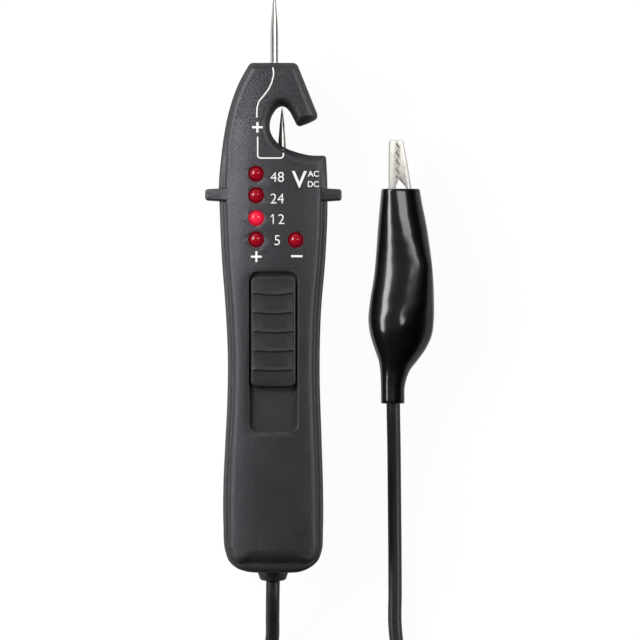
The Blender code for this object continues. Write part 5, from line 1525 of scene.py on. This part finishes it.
tree.links.new(glow.outputs["Emission"], mix.inputs[2])
tree.links.new(mix.outputs["Shader"], output.inputs["Surface"])
table.data.materials.append(table_white)

# %% [markdown]
# A lamp lights everything, and then one that suits the glossy boot greys the housing. Light linking gives
# each lamp a list of the pieces that it lights. A long strip low on the left draws the bright line along
# the boot, a soft lamp on each side shapes the housing, two low cards light its edges, panels above fill
# the metal, and two small lamps make the specks on the lenses. What is in no list is lit by the room.

# %% Lamps
def softbox(name, azimuth_deg, elevation_deg, distance, length, width, radiance, aim, lit):
    """A rectangular lamp for some pieces. Its power follows from how bright it should look."""
    azimuth, elevation = math.radians(azimuth_deg), math.radians(elevation_deg)
    away = Vector((math.cos(azimuth) * math.cos(elevation), math.sin(azimuth) * math.cos(elevation),
                   math.sin(elevation)))
    data = bpy.data.lights.new(name, "AREA")
    data.shape = "RECTANGLE"
    data.size = length
    data.size_y = width
    data.energy = radiance * math.pi * length * width
    lamp = bpy.data.objects.new(name, data)
    lamp.location = in_frame(*aim) + away * distance
    lamp.rotation_mode = "QUATERNION"
    lamp.rotation_quaternion = (-away).to_track_quat("-Z", "Y")
    lamp.visible_camera = False
    bpy.context.scene.collection.objects.link(lamp)
    receivers = bpy.data.collections.new(name + "_lights")
    for piece in lit:
        receivers.objects.link(piece)
    lamp.light_linking.receiver_collection = receivers
    print(name, round(data.energy, 2), "W")
    return lamp


clip_middle = (26.0, 60.0, 8.0)
handle_middle = (0.0, 78.0, 12.0)
edge_middle = (0.0, 70.0, 8.0)
head_left = (-6.0, 92.0, 12.0)
scale_middle = (-2.0, 74.0, 14.0)
housing = [front_shell, rear_shell, thumb_slide, grommet, printed]
softbox("boot_strip", 160.0, 29.0, 0.9, 1.0, 0.25, 6.5, clip_middle, [boot, test_lead, table])
softbox("boot_panel", 90.0, 77.0, 1.1, 0.44, 0.22, 4.0, clip_middle, [boot, test_lead])
softbox("lead_right", 5.0, 30.0, 0.9, 1.0, 0.3, 4.5, clip_middle, [test_lead])
softbox("metal_panel", 90.0, 72.0, 1.0, 0.6, 0.5, 2.4, clip_middle, [fixed_jaw, moving_jaw, probe])
softbox("needle_panel", 20.0, 58.0, 0.8, 0.6, 0.4, 2.4, handle_middle, [needle, probe])
softbox("housing_left", 155.0, 42.0, 0.4, 0.45, 0.15, 9.5, handle_middle, housing)
softbox("housing_right", 25.0, 36.0, 0.4, 0.45, 0.15, 5.5, handle_middle, housing)
softbox("left_card", 172.0, 12.0, 0.8, 0.9, 0.24, 3.6, edge_middle, housing)
softbox("right_card", 8.0, 14.0, 0.8, 0.9, 0.3, 4.0, edge_middle, housing)
softbox("head_softbox", 150.0, 34.0, 0.34, 0.12, 0.12, 13.0, head_left, [front_shell])
softbox("lens_left", 158.0, 39.0, 0.6, 0.4, 0.16, 16.0, scale_middle, lenses)
softbox("lens_right", 27.0, 51.0, 0.6, 0.18, 0.18, 13.0, scale_middle, lenses)

# %% [markdown]
# The room round the table is white near the horizon and dark higher up. It is also dark towards the lead
# and dimmer on the right. Glossy black vinyl shows this as bright edges round a dark middle, brighter on
# the left, and edges that face the lead stay black. Only the camera sees plain white.

# %% World
world = bpy.data.worlds.new("room")
bpy.context.scene.world = world
world.use_nodes = True
tree = world.node_tree
tree.nodes.clear()
direction = add(tree, "ShaderNodeSeparateXYZ")
tree.links.new(add(tree, "ShaderNodeTexCoord").outputs["Generated"], direction.inputs["Vector"])
height = add(tree, "ShaderNodeValToRGB")
tree.links.new(direction.outputs["Z"], height.inputs["Fac"])
stops = height.color_ramp.elements
stops[0].position, stops[0].color = 0.0, (1.0, 1.0, 1.0, 1.0)
stops[1].position, stops[1].color = 0.12, (0.9, 0.9, 0.9, 1.0)
for position, value in ((0.3, 0.2), (0.7, 0.1), (1.0, 0.14)):
    stop = stops.new(position)
    stop.color = (value, value, value, 1.0)
towards_probe = ranged(tree, direction.outputs["Y"], (-0.7, 0.1), (0.15, 1.3))
to_the_right = ranged(tree, direction.outputs["X"], (-0.1, 0.7), (1.0, 0.12))
strength = add(tree, "ShaderNodeMath", operation="MULTIPLY")
tree.links.new(towards_probe, strength.inputs[0])
tree.links.new(to_the_right, strength.inputs[1])
room = add(tree, "ShaderNodeBackground")
tree.links.new(height.outputs["Color"], room.inputs["Color"])
tree.links.new(strength.outputs["Value"], room.inputs["Strength"])
seen = add(tree, "ShaderNodeBackground")
seen.inputs["Color"].default_value = (1.0, 1.0, 1.0, 1.0)
seen.inputs["Strength"].default_value = 1.0
ray = add(tree, "ShaderNodeLightPath")
mix = add(tree, "ShaderNodeMixShader")
output = add(tree, "ShaderNodeOutputWorld")
tree.links.new(ray.outputs["Is Camera Ray"], mix.inputs["Fac"])
tree.links.new(room.outputs["Background"], mix.inputs[1])
tree.links.new(seen.outputs["Background"], mix.inputs[2])
tree.links.new(mix.outputs["Shader"], output.inputs["Surface"])

# %% [markdown]
# ## Last steps
#
# The colours are shown as they are written.

# %% View transform and the end
bpy.context.scene.view_settings.view_transform = "Standard"
